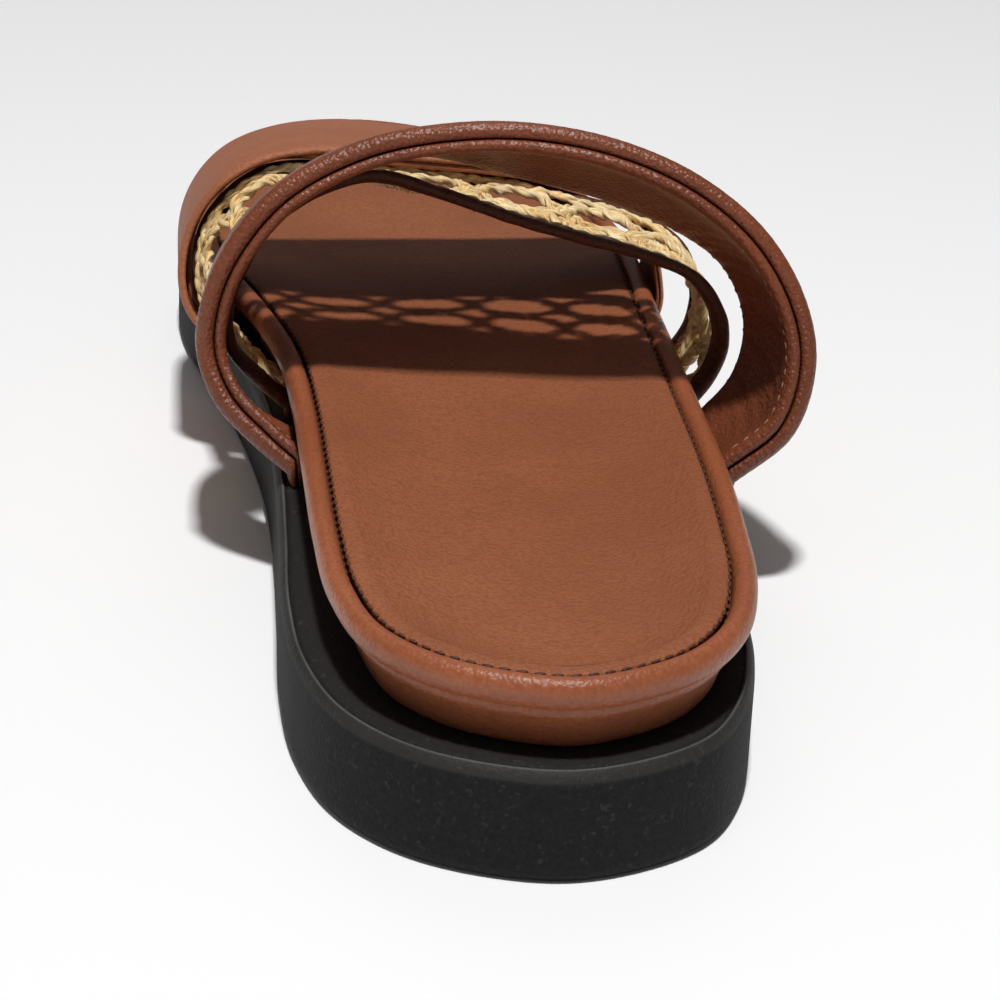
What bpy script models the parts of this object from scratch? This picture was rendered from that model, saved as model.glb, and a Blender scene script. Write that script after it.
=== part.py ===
"""Crossover slide sandal for the right foot, built from its separate pieces.

+Y points to the toe, +X to the outer (lateral) side and +Z up. The shoe stands on its
outsole, with the origin under the middle of its bounding box. Sizes here are in
millimetres, measured from the back of the heel along the floor, and are turned into
metres as each mesh is made.
"""
import functools
import math
from collections import namedtuple

import bmesh
import bpy
import numpy as np

MM = 0.001
GAP = 0.3                    # clearance between two pieces that touch
SIDE_GAP = 0.4               # clearance between a strap and the side of the footbed
SIDE_REACH = 2.5             # how far above and below itself a strap keeps that clearance
SIDE_SHARES = (0.0, 0.25, 0.5, 0.75, 1.0)   # where across a strap that is worked out
TANGENT_STEP = 0.004         # share of a strap's length used to find its direction

# Sole unit
SOLE_LENGTH = 257.0
SOLE_HEIGHT = 16.0           # outsole slab at the heel
SOLE_THINNING = 2.6          # how much lower the slab is under the toes
RIM_HEIGHT = 27.8            # top of the footbed rim at the heel
RIM_THINNING = 5.2
THINNING_FROM = 118.0
THINNING_TO = 205.0
TOE_SPRING = 2.2
TOE_SPRING_FROM = 192.0
RIM_WIDTH = 3.6              # rolled rim, from its outer edge to the seam
RECESS_DEPTH = 2.6           # from the rim top down to the bed under the insole
INSOLE_THICKNESS = 1.5
INSOLE_GAP = 1.5 * GAP
INSOLE_BEVEL = 0.6
HEEL_CUP = 3.0               # how far the foot surface dips below its own edge
DISH_SHARES = (0.1, 0.27, 0.5, 0.73, 0.9)   # points of the dish across the sole
SOLE_STATIONS = 34           # sections along the sole

# Straps
STRAP_SECTIONS = 40          # sections round the foot in each leather strap
REAR_STRAP_WALL = 2.2
REAR_STRAP_ROLL = 4.8        # diameter of the rolled edge that faces the heel
REAR_STRAP_CROWN = 0.8       # how far the strap bulges between its two edges
ROLL_HEIGHT = 0.6            # how far the roll stands above the strap's outer face
ROLL_SEAM = 0.5              # depth of the groove beside the roll
FRONT_STRAP_WALL = 2.0
FRONT_STRAP_FOLD = 2.6       # thickness of the folded edge of the front strap
FRONT_STRAP_CROWN = 0.6
FRONT_STRAP_LAP = 6.0        # how far its lining stands back where the raffia tucks in
LAP_ENDS = (0.36, 0.44)      # shares of the strap's length over which the lap runs out
FRONT_STRAP_SKIVE = 0.5      # share of its thickness pared away at its lateral foot
SKIVE_ENDS = (0.66, 0.8)     # shares of the strap's length over which it thins
BINDING_WIDTH = 4.0
BINDING_WALL = 1.9
RAFFIA_WALL = 1.6
RAFFIA_RIDGE = 0.5           # how far a braided strip stands above the wall
RAFFIA_SAG = 1.2             # how far the weave hangs in between its two bindings
LACE_CELLS = 11              # openings in each row of the raffia lace
LACE_ROWS = 2
LACE_POST = 3.2              # width of the braided post between two openings
LACE_RAIL = 1.5              # width of the strip beside each opening
LACE_GAP = 5.0 * GAP         # between the lace and each binding
CELL_POINTS = 8              # points round each opening
CELL_RINGS = ((0.0, 0.6, 0.0), (0.45, 1.0, 1.0), (1.0, 1.0, 0.0))   # spread, wall and ridge

OutlineRow = namedtuple("OutlineRow", "y medial lateral")
SOLE_OUTLINE = (
    OutlineRow(0.0, 0.0, 0.0),
    OutlineRow(2.6, -11.1, 11.0),
    OutlineRow(8.6, -20.8, 20.2),
    OutlineRow(19.0, -28.4, 26.4),
    OutlineRow(34.0, -32.4, 30.5),
    OutlineRow(52.0, -33.2, 32.6),
    OutlineRow(75.0, -32.0, 34.6),
    OutlineRow(98.0, -31.0, 36.2),
    OutlineRow(120.0, -31.0, 37.8),
    OutlineRow(145.0, -33.0, 39.1),
    OutlineRow(168.0, -36.5, 41.0),
    OutlineRow(188.0, -40.0, 42.0),
    OutlineRow(206.0, -41.0, 40.3),
    OutlineRow(224.0, -37.8, 35.0),
    OutlineRow(240.0, -30.4, 25.4),
    OutlineRow(251.0, -20.0, 12.6),
    OutlineRow(SOLE_LENGTH, -5.5, -5.5),
)
BED_OUTLINE = (
    OutlineRow(2.0, 0.8, 0.8),
    OutlineRow(4.4, -9.0, 10.2),
    OutlineRow(10.0, -18.0, 19.0),
    OutlineRow(19.5, -25.0, 25.8),
    OutlineRow(34.0, -28.3, 30.1),
    OutlineRow(52.0, -28.9, 32.2),
    OutlineRow(75.0, -28.6, 33.8),
    OutlineRow(98.0, -28.3, 34.5),
    OutlineRow(120.0, -28.9, 35.1),
    OutlineRow(145.0, -32.2, 36.3),
    OutlineRow(168.0, -35.9, 38.2),
    OutlineRow(188.0, -38.2, 39.0),
    OutlineRow(206.0, -38.0, 37.4),
    OutlineRow(224.0, -34.6, 32.2),
    OutlineRow(239.0, -27.2, 23.2),
    OutlineRow(249.0, -18.0, 11.0),
    OutlineRow(SOLE_LENGTH - 2.5, -5.5, -5.5),
)

# Outer wall of the footbed, from the top of its rim down: a roll, a soft crease and a
# plain wall that leans in to its rounded foot. Both columns are distances, one down and
# one inwards. The recess goes from the rim's seam down to the bed of the insole.
WallRow = namedtuple("WallRow", "below inset")
BED_WALL = (
    WallRow(0.1, 1.3),
    WallRow(0.9, 0.5),
    WallRow(2.3, 0.0),
    WallRow(3.8, 0.7),
    WallRow(5.0, 2.3),
    WallRow(5.9, 2.7),
    WallRow(7.4, 3.4),
    WallRow(11.5, 4.6),
)
RECESS_WALL = (
    WallRow(0.15, 2.2),
    WallRow(0.8, 3.1),
    WallRow(RECESS_DEPTH, RIM_WIDTH),
)
BED_FOOT_GAP = 1.2 * GAP     # under the footbed
BED_FOOT_ROUND = 0.7

# Sides of the outsole: a rounded lower edge and a fine bevel under the ledge
LOWER_EDGE = (WallRow(0.0, 1.1), WallRow(-0.7, 0.4), WallRow(-2.6, 0.1))
UPPER_EDGE = (WallRow(3.0, 0.0), WallRow(0.9, 0.0), WallRow(0.0, 1.1))

# Each strap is a table of sections round the foot, from its medial to its lateral foot on
# the outsole. A section has one point on the edge towards the heel and one on the edge
# towards the toe. The first and the last stand on the outsole's ledge.
StrapRow = namedtuple("StrapRow", "rear_x rear_y rear_z front_x front_y front_z")
StrapFrame = namedtuple("StrapFrame", "rear towards outward width thin")
REAR_STRAP = (
    StrapRow(-28.6, 91.5, 17.7, -28.0, 106.5, 17.7),
    StrapRow(-33.9, 94.5, 21.4, -33.8, 111.0, 19.4),
    StrapRow(-39.8, 98.5, 26.9, -38.6, 117.0, 22.4),
    StrapRow(-42.5, 102.0, 33.7, -41.5, 122.0, 27.6),
    StrapRow(-41.9, 102.5, 42.1, -40.4, 125.0, 34.5),
    StrapRow(-38.5, 103.0, 50.5, -37.5, 127.0, 42.8),
    StrapRow(-30.7, 104.5, 59.6, -29.4, 129.0, 51.7),
    StrapRow(-18.0, 105.5, 66.3, -17.2, 129.5, 58.3),
    StrapRow(-4.0, 104.5, 69.5, -5.0, 129.0, 58.9),
    StrapRow(9.0, 103.3, 69.8, 9.0, 125.0, 56.5),
    StrapRow(21.5, 101.0, 67.7, 21.5, 120.0, 54.5),
    StrapRow(32.8, 98.2, 63.1, 32.1, 116.0, 51.1),
    StrapRow(42.5, 95.2, 55.5, 40.0, 113.0, 46.4),
    StrapRow(48.6, 92.0, 45.7, 43.9, 111.0, 40.4),
    StrapRow(50.1, 88.0, 36.5, 45.2, 110.0, 33.5),
    StrapRow(46.7, 85.0, 26.1, 43.3, 109.5, 25.5),
    StrapRow(37.6, 85.5, 17.7, 36.2, 108.0, 17.7),
)
RAFFIA_STRAP = (
    StrapRow(-27.2, 119.0, 17.5, -29.5, 137.0, 17.3),
    StrapRow(-32.2, 117.5, 22.0, -35.4, 142.5, 21.3),
    StrapRow(-37.2, 118.0, 28.0, -40.3, 147.0, 25.7),
    StrapRow(-37.7, 120.0, 34.9, -41.5, 149.3, 31.1),
    StrapRow(-35.2, 121.5, 41.3, -40.2, 151.2, 37.9),
    StrapRow(-31.4, 124.0, 46.5, -35.8, 151.2, 44.3),
    StrapRow(-25.6, 126.0, 51.0, -28.8, 151.4, 48.6),
    StrapRow(-14.0, 127.0, 55.1, -15.4, 152.0, 48.6),
    StrapRow(-2.6, 126.0, 52.3, -1.8, 152.5, 47.5),
    StrapRow(8.0, 123.0, 49.1, 11.0, 152.5, 46.1),
    StrapRow(18.0, 119.5, 47.1, 22.3, 149.5, 43.9),
    StrapRow(28.2, 116.0, 45.2, 32.2, 142.0, 43.0),
    StrapRow(36.5, 113.5, 42.1, 37.8, 135.5, 40.4),
    StrapRow(40.7, 112.0, 36.6, 40.2, 132.5, 35.6),
    StrapRow(41.7, 111.5, 31.1, 40.6, 132.5, 30.1),
    StrapRow(40.0, 112.5, 24.3, 39.2, 134.5, 23.9),
    StrapRow(34.6, 113.0, 17.5, 34.4, 135.5, 17.5),
)
FRONT_STRAP = (
    StrapRow(-31.4, 139.5, 17.1, -33.6, 171.0, 15.5),
    StrapRow(-37.6, 140.6, 20.5, -38.9, 172.5, 18.7),
    StrapRow(-42.4, 142.8, 25.5, -41.6, 174.5, 24.3),
    StrapRow(-43.6, 145.0, 31.5, -42.1, 177.0, 31.1),
    StrapRow(-42.0, 147.2, 38.9, -39.5, 180.0, 37.3),
    StrapRow(-37.6, 146.6, 46.1, -34.1, 182.5, 42.3),
    StrapRow(-30.3, 146.6, 50.9, -24.9, 184.5, 45.4),
    StrapRow(-19.4, 146.8, 52.6, -13.7, 186.0, 45.7),
    StrapRow(-6.0, 147.0, 51.3, -2.5, 187.0, 44.4),
    StrapRow(8.1, 147.5, 49.8, 9.0, 187.0, 43.5),
    StrapRow(18.1, 147.5, 48.2, 19.0, 186.5, 42.3),
    StrapRow(26.8, 147.5, 45.3, 28.0, 185.5, 39.7),
    StrapRow(33.5, 148.0, 40.4, 35.2, 184.5, 35.5),
    StrapRow(36.6, 149.0, 33.8, 39.0, 183.5, 29.5),
    StrapRow(37.6, 150.0, 27.5, 40.2, 182.5, 24.1),
    StrapRow(36.6, 150.0, 21.7, 39.2, 181.5, 19.1),
    StrapRow(32.8, 150.0, 16.9, 34.8, 181.0, 15.3),
)


def smooth_step(value, start, end):
    """Rise from 0 at start to 1 at end, level at both."""
    share = np.clip((np.asarray(value, float) - start) / (end - start), 0.0, 1.0)
    return share * share * (3.0 - 2.0 * share)


def floor_line(y):
    """Underside of the outsole: on the floor, then sprung up at the toe."""
    return TOE_SPRING * smooth_step(y, TOE_SPRING_FROM, SOLE_LENGTH + 25.0) * 1.6


def ledge_line(y):
    """Top of the outsole."""
    return SOLE_HEIGHT - SOLE_THINNING * smooth_step(y, THINNING_FROM, THINNING_TO) + floor_line(y)


def rim_line(y):
    """Top of the footbed's rolled rim."""
    return RIM_HEIGHT - RIM_THINNING * smooth_step(y, THINNING_FROM, THINNING_TO) + floor_line(y)


def spline(points, share, closed=False):
    """Points at the given shares, 0 to 1, of a smooth curve through the rows of points."""
    points = np.asarray(points, float)
    if closed:
        points = np.vstack([points[-2:-1], points, points[1:2]])
    else:
        points = np.vstack([2 * points[0] - points[1], points, 2 * points[-1] - points[-2]])
    knots = np.concatenate([[0.0], np.cumsum(np.sqrt(np.linalg.norm(np.diff(points, axis=0), axis=1)))])
    wanted = knots[1] + np.asarray(share) * (knots[-2] - knots[1])
    found = []
    for place in wanted:
        k = int(np.clip(np.searchsorted(knots, place, side="right") - 1, 1, len(points) - 3))
        t0, t1, t2, t3 = knots[k - 1:k + 3]
        p0, p1, p2, p3 = points[k - 1:k + 3]
        a1 = ((t1 - place) * p0 + (place - t0) * p1) / (t1 - t0)
        a2 = ((t2 - place) * p1 + (place - t1) * p2) / (t2 - t1)
        a3 = ((t3 - place) * p2 + (place - t2) * p3) / (t3 - t2)
        b1 = ((t2 - place) * a1 + (place - t0) * a2) / (t2 - t0)
        b2 = ((t3 - place) * a2 + (place - t1) * a3) / (t3 - t1)
        found.append(((t2 - place) * b1 + (place - t1) * b2) / (t2 - t1))
    return np.array(found)


def outline_ring(rows, inset):
    """Closed ring of (x, y): up the lateral side, then down the medial side.

    Point i and point -i share nearly the same y, so the ring can be bridged across.
    """
    lateral = [(row.lateral, row.y) for row in rows]
    medial = [(row.medial, row.y) for row in rows[-2::-1]]
    curve = spline(lateral + medial, np.linspace(0.0, 1.0, 1200), closed=True)
    tip = int(np.argmax(curve[:, 1]))
    tangent = np.gradient(curve, axis=0)
    tangent /= np.linalg.norm(tangent, axis=1)[:, None]
    inward = np.stack([-tangent[:, 1], tangent[:, 0]], axis=1)
    curve = curve + inward * inset
    sides = []
    for side in (curve[:tip + 1], curve[tip:][::-1]):
        low, high = side[0, 1], side[-1, 1]
        turn = np.linspace(0.0, math.pi, SOLE_STATIONS + 1)
        y = low + (high - low) * 0.5 * (1.0 - np.cos(turn))
        order = np.maximum.accumulate(side[:, 1])
        sides.append(np.stack([np.interp(y, order + np.arange(len(side)) * 1e-9, side[:, 0]), y], axis=1))
    return np.vstack([sides[0], sides[1][-2:0:-1]])


def lift_ring(ring, height):
    """Give a flat ring its heights: a line along the sole."""
    return np.column_stack([ring, height(ring[:, 1])])


def new_object(name, bm, material, smooth_angle=40.0):
    """Turn a bmesh in millimetres into a scene object in metres."""
    bmesh.ops.remove_doubles(bm, verts=bm.verts, dist=0.001)
    bmesh.ops.scale(bm, vec=(MM, MM, MM), verts=bm.verts)
    bmesh.ops.recalc_face_normals(bm, faces=bm.faces)
    mesh = bpy.data.meshes.new(name)
    bm.to_mesh(mesh)
    bm.free()
    mesh.shade_smooth()
    mesh.set_sharp_from_angle(angle=math.radians(smooth_angle))
    mesh.materials.append(material)
    piece = bpy.data.objects.new(name, mesh)
    bpy.context.scene.collection.objects.link(piece)
    return piece


def new_material(name, colour, roughness):
    """Principled material with one colour and roughness."""
    material = bpy.data.materials.new(name)
    material.use_nodes = True
    shader = material.node_tree.nodes["Principled BSDF"]
    shader.inputs["Base Color"].default_value = (*colour, 1.0)
    shader.inputs["Roughness"].default_value = roughness
    shader.inputs["Metallic"].default_value = 0.0
    return material


def bridge(bm, lower, upper):
    """Join two closed loops of vertices with quads."""
    count = len(lower)
    for i in range(count):
        j = (i + 1) % count
        bm.faces.new((lower[i], lower[j], upper[j], upper[i]))


def cover(bm, loop, columns, dip, facing):
    """Close a ring across its width, with dip(y, share) taken off its height."""
    last = SOLE_STATIONS
    count = len(loop)
    ladder = []
    for i in range(last + 1):
        lateral, medial = loop[i], loop[(count - i) % count]
        if lateral is medial:
            ladder.append([lateral])
            continue
        row = [lateral]
        for share in columns:
            point = lateral.co.lerp(medial.co, share)
            point.z -= dip(point.y, share)
            row.append(bm.verts.new(point))
        row.append(medial)
        ladder.append(row)
    for low, high in zip(ladder, ladder[1:]):
        if len(low) == 1:
            low = low * len(high)
        if len(high) == 1:
            high = high * len(low)
        for k in range(len(low) - 1):
            corners = list(dict.fromkeys((low[k], low[k + 1], high[k + 1], high[k])))
            if facing < 0:
                corners.reverse()
            bm.faces.new(corners)


def no_dip(y, share):
    """A cover with no dish."""
    return 0.0


def foot_dip(y, share):
    """Dish of the foot surface: deepest in the heel cup, shallow under the toes."""
    depth = HEEL_CUP * (1.0 - 0.4 * float(smooth_step(y, 60.0, 130.0)))
    depth *= float(smooth_step(y, 0.0, 22.0)) * float(smooth_step(SOLE_LENGTH - y, 0.0, 30.0))
    return depth * (1.0 - abs(2.0 * share - 1.0) ** 3)


def build_rings(bm, rings):
    """Make the vertices of each ring and bridge them in turn."""
    loops = [[bm.verts.new(point) for point in ring] for ring in rings]
    for lower, upper in zip(loops, loops[1:]):
        bridge(bm, lower, upper)
    return loops


def build_outsole(material):
    """Flat rubber slab with rounded lower edge and a fine bevel round its top."""
    rings = [(row.inset, lambda y, row=row: floor_line(y) - row.below) for row in LOWER_EDGE]
    rings += [(row.inset, lambda y, row=row: ledge_line(y) - row.below) for row in UPPER_EDGE]
    bm = bmesh.new()
    loops = build_rings(bm, [lift_ring(outline_ring(SOLE_OUTLINE, inset), height) for inset, height in rings])
    cover(bm, loops[0], (0.5,), no_dip, -1)
    cover(bm, loops[-1], (0.5,), no_dip, 1)
    return new_object("outsole", bm, material)


def build_footbed(material):
    """Leather-wrapped bed: wall leaning out to a rolled rim, and a recess for the insole."""
    rings = [
        (BED_WALL[-1].inset + BED_FOOT_ROUND, lambda y: ledge_line(y) + BED_FOOT_GAP),
        (BED_WALL[-1].inset, lambda y: ledge_line(y) + BED_FOOT_GAP + BED_FOOT_ROUND),
    ]
    rings += [(row.inset, lambda y, row=row: rim_line(y) - row.below)
              for row in BED_WALL[-2::-1] + RECESS_WALL]
    bm = bmesh.new()
    loops = build_rings(bm, [lift_ring(outline_ring(BED_OUTLINE, inset), height) for inset, height in rings])
    cover(bm, loops[0], (0.5,), no_dip, -1)
    cover(bm, loops[-1], DISH_SHARES, foot_dip, 1)
    return new_object("footbed", bm, material)


def build_insole(material):
    """Leather sock that lies in the footbed's recess."""
    edge = RIM_WIDTH + INSOLE_GAP
    bottom = RECESS_DEPTH - INSOLE_GAP
    top = bottom - INSOLE_THICKNESS
    rings = (
        (edge, lambda y: rim_line(y) - bottom),
        (edge, lambda y: rim_line(y) - top - INSOLE_BEVEL),
        (edge + INSOLE_BEVEL, lambda y: rim_line(y) - top),
    )
    bm = bmesh.new()
    loops = build_rings(bm, [lift_ring(outline_ring(BED_OUTLINE, inset), height) for inset, height in rings])
    cover(bm, loops[0], DISH_SHARES, foot_dip, -1)
    cover(bm, loops[-1], DISH_SHARES, foot_dip, 1)
    return new_object("insole", bm, material)


@functools.lru_cache(maxsize=None)
def bed_edge(side):
    """Outer edge of the footbed on one side, as its x and y in order of y."""
    ring = outline_ring(BED_OUTLINE, 0.0)
    half = ring[:SOLE_STATIONS + 1] if side > 0 else ring[:SOLE_STATIONS - 1:-1]
    half = half[np.argsort(half[:, 1])]
    return half[:, 0], half[:, 1]


def bed_side(y, z, side):
    """How far out the footbed's wall stands at a height: side is 1 lateral, -1 medial."""
    edge_x, edge_y = bed_edge(side)
    below = float(rim_line(y)) - z
    inset = np.interp(below, [row.below for row in BED_WALL], [row.inset for row in BED_WALL])
    return side * float(np.interp(y, edge_y, edge_x)) - inset


class StrapSurface:
    """Outer face of a strap and the middle surface a depth below it.

    inner is how far its inner face lies below the middle, and skive how much thinner it
    gets at its lateral foot.
    """

    def __init__(self, rows, depth, crown, inner, skive=0.0):
        self.rear = np.array([(row.rear_x, row.rear_y, row.rear_z) for row in rows])
        self.front = np.array([(row.front_x, row.front_y, row.front_z) for row in rows])
        self.depth = depth
        self.crown = crown
        self.inner = inner
        self.skive = skive

    def middle(self, share, across):
        """Point on the surface, before its crown is added."""
        rear = spline(self.rear, [share])[0]
        front = spline(self.front, [share])[0]
        return rear + (front - rear) * across

    def frame(self, share):
        """Rear edge point, unit step towards the front edge, outward normal, width, thinning."""
        rear = self.middle(share, 0.0)
        front = self.middle(share, 1.0)
        width = np.linalg.norm(front - rear)
        towards = (front - rear) / width
        low, high = max(share - TANGENT_STEP, 0.0), min(share + TANGENT_STEP, 1.0)
        outward = np.cross(self.middle(high, 0.5) - self.middle(low, 0.5), towards)
        outward /= np.linalg.norm(outward)
        thin = 1.0 - self.skive * float(smooth_step(share, *SKIVE_ENDS))
        frame = StrapFrame(rear, towards, outward, width, thin)
        return frame._replace(rear=rear + self.clear_bed(frame))

    def clear_bed(self, frame):
        """Sideways move that keeps the inner face of a section clear of the footbed."""
        side = 1 if frame.rear[0] > 0.0 else -1
        push = 0.0
        for across in SIDE_SHARES:
            x, y, z = self.place(frame, frame.width * across, -self.inner)
            for height in (z - SIDE_REACH, z, z + SIDE_REACH):
                if height < rim_line(y):
                    push = max(push, bed_side(y, height, side) + SIDE_GAP - side * x)
        return np.array([side * push, 0.0, 0.0])

    def place(self, frame, from_rear, offset):
        """Point at a distance from the rear edge and an offset off the surface."""
        across = from_rear / frame.width
        bulge = self.crown * 4.0 * across * (1.0 - across)
        off = bulge - (self.depth - offset) * frame.thin
        point = frame.rear + frame.towards * from_rear + frame.outward * off
        point[2] = max(point[2], ledge_line(point[1]) + GAP)
        return point


def sweep_strap(name, surface, profile, material, sections=STRAP_SECTIONS):
    """Carry a closed profile, given by the strap's width and share, along a strap surface."""
    bm = bmesh.new()
    loops = []
    for share in np.linspace(0.0, 1.0, sections + 1):
        frame = surface.frame(share)
        ring = np.array([surface.place(frame, a, t) for a, t in profile(frame.width, share)])
        if share in (0.0, 1.0):
            ring[:, 2] = ledge_line(ring[:, 1]) + GAP
        loops.append([bm.verts.new(point) for point in ring])
    for lower, upper in zip(loops, loops[1:]):
        bridge(bm, lower, upper)
    bm.faces.new(loops[0][::-1])
    bm.faces.new(loops[-1])
    return new_object(name, bm, material)


def rear_strap_profile(width, share):
    """Section of the rear strap: a rolled edge, a seam groove and a flat wall."""
    roll = REAR_STRAP_ROLL / 2.0
    outer = roll - ROLL_HEIGHT
    inner = outer - REAR_STRAP_WALL
    seam, flat = REAR_STRAP_ROLL + 0.4, REAR_STRAP_ROLL + 1.8
    round_from, round_to, corner = width - 1.6, width - 0.4, 0.6
    upper = [(roll * (1.0 - math.cos(turn)), roll * math.sin(turn))
             for turn in np.radians((45.0, 90.0, 130.0))]
    lower = [(a, -t) for a, t in reversed(upper)]
    upper += [(seam, outer - ROLL_SEAM), (flat, outer), (width * 0.6, outer),
              (round_from, outer), (round_to, outer - corner)]
    lower = [(round_to, inner + corner), (round_from, inner), (width * 0.6, inner),
             (flat, inner), (seam, inner + ROLL_SEAM)] + lower
    return [(0.0, 0.0)] + upper + [(width, (outer + inner) / 2.0)] + lower


def front_strap_profile(width, share):
    """Section of the front strap: an outer layer and a lining that stands back on the medial side."""
    fold = FRONT_STRAP_FOLD / 2.0
    wall = FRONT_STRAP_WALL / 2.0
    lap = FRONT_STRAP_LAP * (1.0 - float(smooth_step(share, *LAP_ENDS)))
    upper = [(0.0, fold * 0.5), (0.45, fold * 0.9), (1.6, fold), (3.6, wall), (width * 0.33, wall),
             (width * 0.66, wall), (width - 1.6, wall), (width - 0.4, wall * 0.6)]
    lower = [(width - 0.4, -wall * 0.6), (width - 1.6, -wall), (width * 0.66, -wall),
             (lap + 4.5, -wall), (lap + 1.6, -fold), (lap + 0.6, -fold * 0.6),
             (lap + 1.0, 0.0), (0.4, 0.0)]
    return upper + [(width, 0.0)] + lower


def binding_profile(start, end):
    """Section of a leather binding strip between two distances from the rear edge."""
    wall = BINDING_WALL / 2.0
    upper = [(start + 0.4, wall * 0.75), (start + 1.2, wall), (end - 1.2, wall), (end - 0.4, wall * 0.75)]
    lower = [(a, -t) for a, t in reversed(upper)]
    return [(start, 0.0)] + upper + [(end, 0.0)] + lower


def build_rear_binding(surface, material):
    """Dark binding on the heel side of the raffia."""
    return sweep_strap("raffia_rear_binding", surface,
                       lambda width, share: binding_profile(0.0, BINDING_WIDTH), material)


def build_front_binding(surface, material):
    """Dark binding on the toe side of the raffia."""
    return sweep_strap("raffia_front_binding", surface,
                       lambda width, share: binding_profile(width - BINDING_WIDTH, width), material)


def strap_length(surface):
    """Length of a strap round the foot, along its middle."""
    points = [surface.middle(share, 0.5) for share in np.linspace(0.0, 1.0, 61)]
    return sum(np.linalg.norm(b - a) for a, b in zip(points, points[1:]))


def cell_ring(cell, row, spread, along_step, across_step):
    """Places round one opening of the lace, in shares of its length and width.

    spread goes from 0 at the opening's own edge to 1 at the edge of its cell.
    """
    half_open_along = 0.5 - 0.5 * LACE_POST / along_step
    half_open_across = 0.5 - LACE_RAIL / across_step
    places = []
    for k in range(CELL_POINTS):
        cos, sin = math.cos(math.tau * k / CELL_POINTS), math.sin(math.tau * k / CELL_POINTS)
        square = 1.0 / max(abs(cos), abs(sin))
        along = cos * (half_open_along * (1.0 - spread) + 0.5 * square * spread)
        across = sin * (half_open_across * (1.0 - spread) + 0.5 * square * spread)
        places.append((round((cell + 0.5 + along) / LACE_CELLS, 9),
                       round((row + 0.5 + across) / LACE_ROWS, 9)))
    return places


def on_border(first, second):
    """Whether two places lie together on one border of the lace."""
    return any(first[axis] == limit and second[axis] == limit
               for axis in (0, 1) for limit in (0.0, 1.0))


def build_raffia(surface, material):
    """Raffia lace: one wall with two rows of openings, its braided strips raised."""
    inner = BINDING_WIDTH + LACE_GAP
    crown_row = len(RAFFIA_STRAP) // 2
    along_step = strap_length(surface) / LACE_CELLS
    across_step = (np.linalg.norm(surface.front[crown_row] - surface.rear[crown_row])
                   - 2.0 * inner) / LACE_ROWS
    offsets = [(spread, side * (RAFFIA_WALL / 2.0 * wall + RAFFIA_RIDGE * ridge))
               for side, rings in ((1.0, CELL_RINGS), (-1.0, CELL_RINGS[::-1]))
               for spread, wall, ridge in rings]
    bm = bmesh.new()

    def vertex(along, across, offset):
        frame = surface.frame(along)
        point = surface.place(frame, inner + (frame.width - 2.0 * inner) * across, offset)
        if along in (0.0, 1.0):
            point[2] = ledge_line(point[1]) + GAP
        return bm.verts.new(point)

    for cell in range(LACE_CELLS):
        for row in range(LACE_ROWS):
            rings = [[vertex(along, across, offset)
                      for along, across in cell_ring(cell, row, spread, along_step, across_step)]
                     for spread, offset in offsets]
            top, bottom = rings[2], rings[3]
            for lower, upper in zip(rings, rings[1:] + rings[:1]):
                if lower is not top:
                    bridge(bm, lower, upper)
            border = cell_ring(cell, row, 1.0, along_step, across_step)
            for k in range(CELL_POINTS):
                after = (k + 1) % CELL_POINTS
                if on_border(border[k], border[after]):
                    bm.faces.new((top[k], top[after], bottom[after], bottom[k]))
    return new_object("raffia_lace", bm, material)


def stand_on_origin(pieces):
    """Move every piece so that the origin is under the middle of the whole shoe."""
    corners = np.array([vertex.co for piece in pieces for vertex in piece.data.vertices])
    low, high = corners.min(axis=0), corners.max(axis=0)
    for piece in pieces:
        piece.location = (-(low[0] + high[0]) / 2.0, -(low[1] + high[1]) / 2.0, -low[2])


def build_sandal():
    """Build every piece of the sandal."""
    for old in list(bpy.data.objects):
        bpy.data.objects.remove(old)
    tan = new_material("tan_leather", (0.262, 0.092, 0.045), 0.5)
    lining = new_material("dark_leather", (0.09, 0.03, 0.017), 0.55)
    rubber = new_material("black_rubber", (0.012, 0.012, 0.011), 0.75)
    straw = new_material("raffia", (0.78, 0.58, 0.27), 0.6)
    rear = StrapSurface(REAR_STRAP, REAR_STRAP_ROLL / 2.0, REAR_STRAP_CROWN, REAR_STRAP_ROLL / 2.0)
    raffia = StrapSurface(RAFFIA_STRAP, BINDING_WALL / 2.0, -RAFFIA_SAG, RAFFIA_WALL / 2.0 + RAFFIA_RIDGE)
    front = StrapSurface(FRONT_STRAP, FRONT_STRAP_FOLD / 2.0, FRONT_STRAP_CROWN, FRONT_STRAP_FOLD / 2.0,
                         FRONT_STRAP_SKIVE)
    pieces = [
        build_outsole(rubber),
        build_footbed(tan),
        build_insole(tan),
        sweep_strap("rear_strap", rear, rear_strap_profile, tan),
        build_raffia(raffia, straw),
        build_rear_binding(raffia, lining),
        build_front_binding(raffia, lining),
        sweep_strap("front_strap", front, front_strap_profile, tan),
    ]
    stand_on_origin(pieces)


build_sandal()
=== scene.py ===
"""Crossover slide sandal for the right foot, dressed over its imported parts.

+Y points to the toe, +X to the outer side and +Z up. Sizes are in millimetres, measured
from the back of the heel along the floor, and each mesh is made in metres in its place.
"""
import math

import bmesh
import bpy
import numpy as np
from mathutils import Matrix, Vector


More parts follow.
